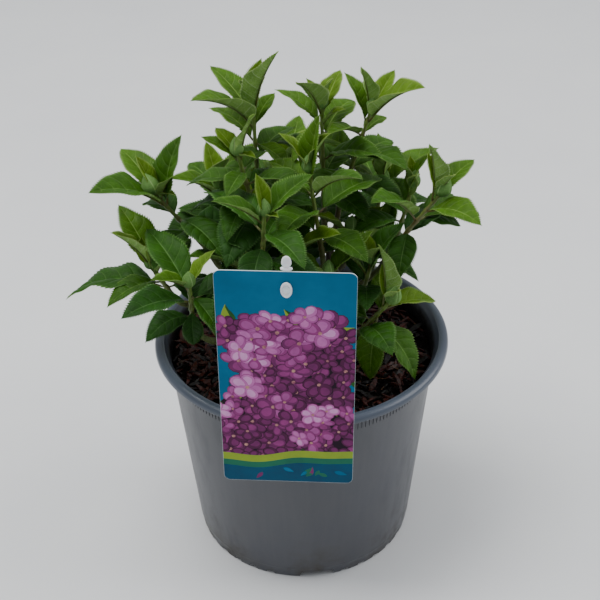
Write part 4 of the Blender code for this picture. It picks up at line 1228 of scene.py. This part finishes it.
# %% Card measures
CARD_WIDTH = 0.078
CARD_HEIGHT = 0.157
CARD_THICKNESS = 0.0005
CARD_CORNER = 0.004
CARD_CENTRE = Vector((-0.0089, -0.0984, 0.1842))
CARD_TURN = Euler((math.radians(2.7), math.radians(0.7), math.radians(-3.6)))
BUTTON_DROP = 0.0115
BUTTON_SHIFT = 0.0006
PRINT_INSET = 0.14 * MM
PRINT_LIFT = 0.01 * MM

upright = Matrix.Rotation(math.pi / 2, 4, "X")
card_matrix = Matrix.Translation(CARD_CENTRE) @ CARD_TURN.to_matrix().to_4x4() @ upright
print("card faces:", [round(value, 3) for value in card_matrix.col[2][:3]])


# %% Inks and card plastic
def two_tone(name, first, second, scale, relief=None, contrast=(0.35, 0.65), **constants):
    """A plain material: two close tones in soft blotches, with a grain where one is given."""
    skin = Skin(name, **constants)
    place = skin.place()
    tone = skin.mix(skin.mottled(place, scale, *contrast), first, second)
    if relief is None:
        return skin.finish(tone)
    grain_scale, distance, strength = relief
    return skin.finish(tone, skin.grain(place, grain_scale), distance, strength)


# Printed inks under a clear film: the two tones and how fine their blotches are
INKS = {
    "teal": ("006a90", "005c80", 40), "deep teal": ("064c6a", "083c58", 60),
    "plum shade": ("240722", "160616", 90), "wine": ("401434", "300e28", 150),
    "claret": ("5a1c4a", "46163a", 150), "magenta": ("782a64", "602254", 150),
    "pink": ("963a7e", "7e306a", 150), "rose": ("ae589a", "964884", 150),
    "blush": ("c675b2", "b060a0", 150), "pale": ("d99ccd", "c886bd", 150),
    "blossom eye": ("c89c8a", "7a2a54", 500), "lime": ("8fa82e", "7c9630", 60),
    "leaf green": ("245a1c", "16421e", 110), "sea green": ("166c50", "125e4a", 60),
}
inks = [two_tone("print " + name, *values, contrast=(0.3, 0.7), Roughness=0.42, Specular_IOR_Level=0.12)
        for name, values in INKS.items()]
card_plastic = two_tone("card plastic", "c9d6d8", "bccbce", 60, (900, 0.00005, 0.4), Roughness=0.35)
for slot in cad_nodes["label_card"].material_slots:
    slot.material = card_plastic

# %% [markdown]
# The print is planned as a pile of flat outlines, like cut paper laid on the card one after another.
# The pile is then cut along every outline in one step, and each scrap takes the colour of the
# topmost outline over it, so the print is a single flat sheet, as real ink is.

# %% Outlines for the print
# From the rim of a deep petal to the light patch on a pale one
TONES = ("plum shade", "wine", "claret", "magenta", "pink", "rose", "blush", "pale")
print_pile = []


def lay(outline, colour):
    """Put one more outline, a list of places on the card, on the pile."""
    print_pile.append((outline, colour))


def turned_spot(centre, x, y, turn):
    """A place given from a centre in a frame that is turned."""
    cos, sin = math.cos(turn), math.sin(turn)
    return (centre[0] + x * cos - y * sin, centre[1] + x * sin + y * cos)


def lay_petal(frame, size, turn, colour, shift=0.0):
    """One round petal of a blossom that is seen at a slant."""
    centre, lean, squash = frame
    outline = []
    for index in range(12):
        x, y = math.cos(index * math.tau / 12), math.sin(index * math.tau / 12)
        narrow = 1 - 0.32 * (1 - x) / 2
        spot = turned_spot((0, 0), (x * 0.50 + 0.48) * size + shift, y * 0.46 * size * narrow, turn - lean)
        outline.append(turned_spot(centre, spot[0], spot[1] * squash, lean))
    lay(outline, colour)


def lay_blossom(centre, size, level, dice):
    """Five petals, each over the edge of the last, with a dark rim, a middle tone and a light patch."""
    frame = (centre, dice.uniform(0, math.pi), dice.uniform(0.62, 1.0))
    turn = dice.uniform(0, math.tau)
    for index in range(5):
        way = turn + index * math.tau / 5 + dice.uniform(-0.12, 0.12)
        reach = size * dice.uniform(0.86, 1.10)
        tone = max(0, min(len(TONES) - 4, level + dice.choice((-1, 0, 0, 1))))
        lay_petal(frame, reach * 1.07, way, TONES[tone], -0.02 * size)
        lay_petal(frame, reach, way, TONES[tone + 2])
        lay_petal(frame, reach * 0.66, way + dice.uniform(-0.16, 0.16), TONES[tone + 3],
                  reach * dice.uniform(0.14, 0.28))
    eye = 0.12 * size
    lay([turned_spot(centre, eye * math.cos(index), eye * math.sin(index), 0) for index in range(6)],
        "blossom eye")


def lay_leaf(centre, length, turn, colour):
    """A simple pointed leaf with a paler half."""
    upper, lower = [], []
    for index in range(9):
        x = index / 8
        reach = 0.20 * length * math.sin(math.pi * x ** 0.75)
        upper.append(turned_spot(centre, (x - 0.5) * length, reach, turn))
        lower.append(turned_spot(centre, (x - 0.5) * length, -reach, turn))
    lay([*lower, *reversed(upper[1:-1])], colour)
    if colour == "leaf green":
        lay(list(reversed(upper)), "lime")


# %% [markdown]
# A posy is filled by throwing blossoms at a disc and keeping those that aren't too near another.
# Those towards its lit upper side are pale, and those low down are deep.

# %% Posies and ribbon
# Each posy in mm: its middle, its reach and how many blossoms it has
POSIES = (((6, 12), 34, 50), ((-20, -34), 27, 34), ((27, -44), 22, 22), ((-30, 36), 10, 5))
BLOSSOM_SPACING = 7.9
RIBBON_STEPS = 48


def posy_places(dice):
    """Seeded places in the posies with their share of light, darkest first."""
    places = []
    for (x0, y0), reach, count in POSIES:
        found = []
        for _ in range(count * 40):
            turn, out = dice.uniform(0, math.tau), reach * math.sqrt(dice.random())
            x, y = x0 + out * math.cos(turn), y0 + out * math.sin(turn) * 1.12
            if all(math.hypot(x - a, y - b) > BLOSSOM_SPACING for a, b, _ in found):
                light = 0.46 + 0.40 * ((y - y0) * 0.8 - (x - x0) * 0.6) / reach + dice.uniform(-0.26, 0.26)
                found.append((x, y, min(0.999, max(0, light))))
            if len(found) == count:
                break
        places += found
    return sorted(places, key=lambda place: place[2])


def lay_ribbon(low, high, colour):
    """A wavy band right across the card, from one height to another."""
    across = [CARD_WIDTH * (index / RIBBON_STEPS - 0.5) * 1.04 for index in range(RIBBON_STEPS + 1)]
    edges = [[(x, base * MM + 2.4 * MM * math.sin(x / (17 * MM)) + 0.9 * MM * math.sin(x / (6.5 * MM) + 1))
              for x in across] for base in (low, high)]
    lay(edges[0] + edges[1][::-1], colour)


def card_outline(inset):
    """The card's rounded outline, drawn in by the inset."""
    half_width, half_height = CARD_WIDTH / 2 - inset, CARD_HEIGHT / 2 - inset
    corner = CARD_CORNER - inset
    outline = []
    for quarter, (sx, sy) in enumerate(((1, 1), (-1, 1), (-1, -1), (1, -1))):
        for index in range(9):
            turn = (quarter + index / 8) * math.pi / 2
            outline.append((sx * (half_width - corner) + corner * math.cos(turn),
                            sy * (half_height - corner) + corner * math.sin(turn)))
    return outline


# %% Cut the print
# The cutting is done in mm; places nearer than this, in mm, become one
PER_METRE = 1000
NEAREST = 0.002
INSIDE_ONLY = 1


def cut_print():
    """Cut the pile along every outline; each scrap takes the topmost colour."""
    points, faces = [], []
    for outline, _ in print_pile:
        faces.append(list(range(len(points), len(points) + len(outline))))
        points += [Vector(place) * PER_METRE for place in outline]
    spots, _, scraps, _, _, under = delaunay_2d_cdt(points, [], faces, INSIDE_ONLY, NEAREST)
    shape = bmesh.new()
    verts = [shape.verts.new((spot.x / PER_METRE, spot.y / PER_METRE, 0)) for spot in spots]
    ink_order = list(INKS)
    for scrap, covers in zip(scraps, under):
        if 0 in covers:
            face = shape.faces.new([verts[index] for index in scrap])
            face.material_index = ink_order.index(print_pile[max(covers)][1])
    bmesh.ops.delete(shape, geom=[vert for vert in shape.verts if not vert.link_faces], context="VERTS")
    return shape


# %% Lay and cut the front
PRINT_SEED = 21


def lay_front():
    """Plan the front: ground, leaves, blossoms, ribbon and drifting petals."""
    dice = random.Random(PRINT_SEED)
    lay(card_outline(PRINT_INSET), "teal")
    for (x0, y0), reach, _ in POSIES[:3]:
        lay([((x0 + reach * 0.93 * math.cos(step)) * MM, (y0 + reach * 1.04 * math.sin(step)) * MM)
             for step in (index * math.tau / 40 for index in range(40))], "plum shade")
    for _ in range(34):
        (x0, y0), reach, _ = dice.choice(POSIES)
        turn = dice.uniform(0, math.tau)
        out = reach * dice.uniform(0.86, 1.10)
        spot = ((x0 + out * math.cos(turn)) * MM, (y0 + out * math.sin(turn) * 1.12) * MM)
        lay_leaf(spot, dice.uniform(12, 20) * MM, turn + dice.uniform(-0.6, 0.6),
                 dice.choice(("leaf green", "leaf green", "deep teal")))
    for x, y, light in posy_places(dice):
        level = int(light ** 2.2 * (len(TONES) - 3))
        lay_blossom((x * MM, y * MM), dice.uniform(7.2, 11.2) * MM, level, dice)
    lay_ribbon(-90, -60, "deep teal")
    lay_ribbon(-64.5, -55.5, "sea green")
    lay_ribbon(-60, -54.5, "lime")
    for _ in range(9):
        lay_leaf((dice.uniform(-34, 34) * MM, dice.uniform(-75, -68) * MM), dice.uniform(5, 9) * MM,
                 dice.uniform(0, math.tau), dice.choice(("sea green", "teal", "magenta")))


lay_front()
front_print = cut_print()
print("print:", len(print_pile), "outlines")
front_print.transform(card_matrix @ Matrix.Translation((0, 0, CARD_THICKNESS / 2 + PRINT_LIFT)))
add_piece("card_print", front_print, "printed_card", *inks, smooth=False)

# %% [markdown]
# ## Holder
# The holder is one white, slightly translucent moulding: a flat pointed stick behind the card, a
# collar and a bullet-shaped tip over it, and an oval button that comes through the card's hole. Turned
# shapes flattened in depth give the soft edges of such a moulding.

# %% Holder bars
STICK_WIDTH = 0.0034
STICK_DEPTH = 0.0018
STICK_FOOT = Vector((-0.0095, -0.0772, 0.112))
POINT_LENGTH = 12 * MM
STICK_BACK = CARD_THICKNESS / 2 + GAP + STICK_DEPTH / 2

holder_plastic = two_tone("white holder plastic", "f4f6f7", "e2e6e9", 260, (1200, 0.00010, 0.5),
                          Roughness=0.32, Subsurface_Weight=0.12, Subsurface_Scale=0.0015)
button_place = card_matrix @ Matrix.Translation((BUTTON_SHIFT, CARD_HEIGHT / 2 - BUTTON_DROP, 0))
collar_place = card_matrix @ Matrix.Translation((BUTTON_SHIFT, CARD_HEIGHT / 2 + 0.4 * MM, -STICK_BACK))


def flat_bar(low, high, pointed=False):
    """A flat bar with rounded edges between two places, of the stick's width and depth."""
    length = (high - low).length
    along = (high - low).normalized()
    side = Vector((1, 0, 0))
    side = (side - along * side.dot(along)).normalized()
    turn = Matrix((side, along, side.cross(along))).transposed().to_4x4()
    shape = bmesh.new()
    bmesh.ops.create_cube(shape, size=1.0)
    bmesh.ops.subdivide_edges(shape, edges=edges_along(shape, 1), cuts=7)
    for vert in shape.verts:
        near_foot = max(0.0, 1 - (vert.co.y + 0.5) * length / POINT_LENGTH)
        narrow = 1 - 0.75 * near_foot if pointed else 1
        x, y, z = vert.co
        vert.co = Vector((x * STICK_WIDTH * narrow, y * length, z * STICK_DEPTH * narrow))
    sharp = [edge for edge in shape.edges if len(edge.link_faces) == 2 and edge.calc_face_angle(0) > 1.2]
    bmesh.ops.bevel(shape, geom=sharp, offset=STICK_DEPTH * 0.24, segments=2, profile=0.5, affect="EDGES",
                    material=-1)
    shape.transform(Matrix.Translation((low + high) / 2) @ turn)
    return outward(shape)


# %% Holder
# Half profiles, from the top of the tip down and from the back of the button and the neck forwards
TIP_PROFILE = ((0, 8.7), (0.9, 8.5), (1.8, 7.8), (2.4, 6.6), (2.75, 5.0), (2.75, 3.6), (2.4, 2.7),
               (1.8, 2.1), (1.7, 1.7), (2.3, 1.3), (3.2, 1.0), (3.4, 0.5), (3.3, 0.0), (3.0, -0.4),
               (1.9, -0.8), (0, -0.9))
BUTTON_PROFILE = ((0, -1.0), (0.88, -1.0), (0.97, -0.5), (1.0, 0.1), (0.93, 0.58), (0.82, 0.72), (0.70, 0.52),
                  (0.60, -0.15), (0.44, -0.35), (0.30, 0.05), (0.18, 0.40), (0, 0.50))
NECK_PROFILE = ((0, -1.0), (1.0, -1.0), (1.0, 1.0), (0, 1.0))
HOLDER_STEPS = 32

collar = collar_place.translation
head = button_place @ Vector((0, 0, -STICK_BACK))
holder_shape = flat_bar(STICK_FOOT, head, pointed=True)
gather(holder_shape, flat_bar(head - (head - STICK_FOOT).normalized() * 2 * MM, collar))
for profile, place, scale in (
        (TIP_PROFILE, collar_place @ upright.inverted(), (MM, 0.42 * MM, MM)),
        (BUTTON_PROFILE, button_place @ Matrix.Translation((0, 0, CARD_THICKNESS / 2 + GAP + 0.75 * MM)),
         (3.3 * MM, 5.25 * MM, 0.9 * MM)),
        (NECK_PROFILE, button_place, (2.1 * MM, 2.1 * MM, STICK_BACK))):
    gather(holder_shape, spun(profile, HOLDER_STEPS), place @ Matrix.Diagonal((*scale, 1)))
holder_piece = add_piece("card_holder", holder_shape, "holder_plastic", holder_plastic)
holder_piece.data.set_sharp_from_angle(angle=math.radians(50))
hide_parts("label_holder")

# %% [markdown]
# ## Floor and light
# The plant stands on a plain pale floor under soft light from above.

# %% Floor and light
FLOOR_SIZE = 4.0
SKY_COLOUR = (0.93, 0.96, 1.0, 1)
SKY_STRENGTH = 0.62
LAMP_TARGET = Vector((0, 0, 0.15))

floor_shape = bmesh.new()
bmesh.ops.create_grid(floor_shape, x_segments=4, y_segments=4, size=FLOOR_SIZE)
floor = add_object("floor", mesh_of("floor", floor_shape))
floor.data.materials.append(two_tone("pale floor", "dcdddd", "d8d9da", 6, Roughness=0.6))

world = bpy.data.worlds.new("soft sky")
world.use_nodes = True
sky = world.node_tree.nodes["Background"].inputs
sky["Color"].default_value = SKY_COLOUR
sky["Strength"].default_value = SKY_STRENGTH
bpy.context.scene.world = world
for name, place, size, power in (("key", (-0.6, 0.1, 1.9), 1.1, 36), ("fill", (1.4, 0.2, 1.2), 1.2, 16)):
    lamp = bpy.data.lights.new(name, "AREA")
    lamp.size = size
    lamp.energy = power
    light = add_object(name, lamp)
    light.location = place
    light.rotation_euler = (LAMP_TARGET - Vector(place)).to_track_quat("-Z", "Y").to_euler()
print("pieces, floor and light are in place")
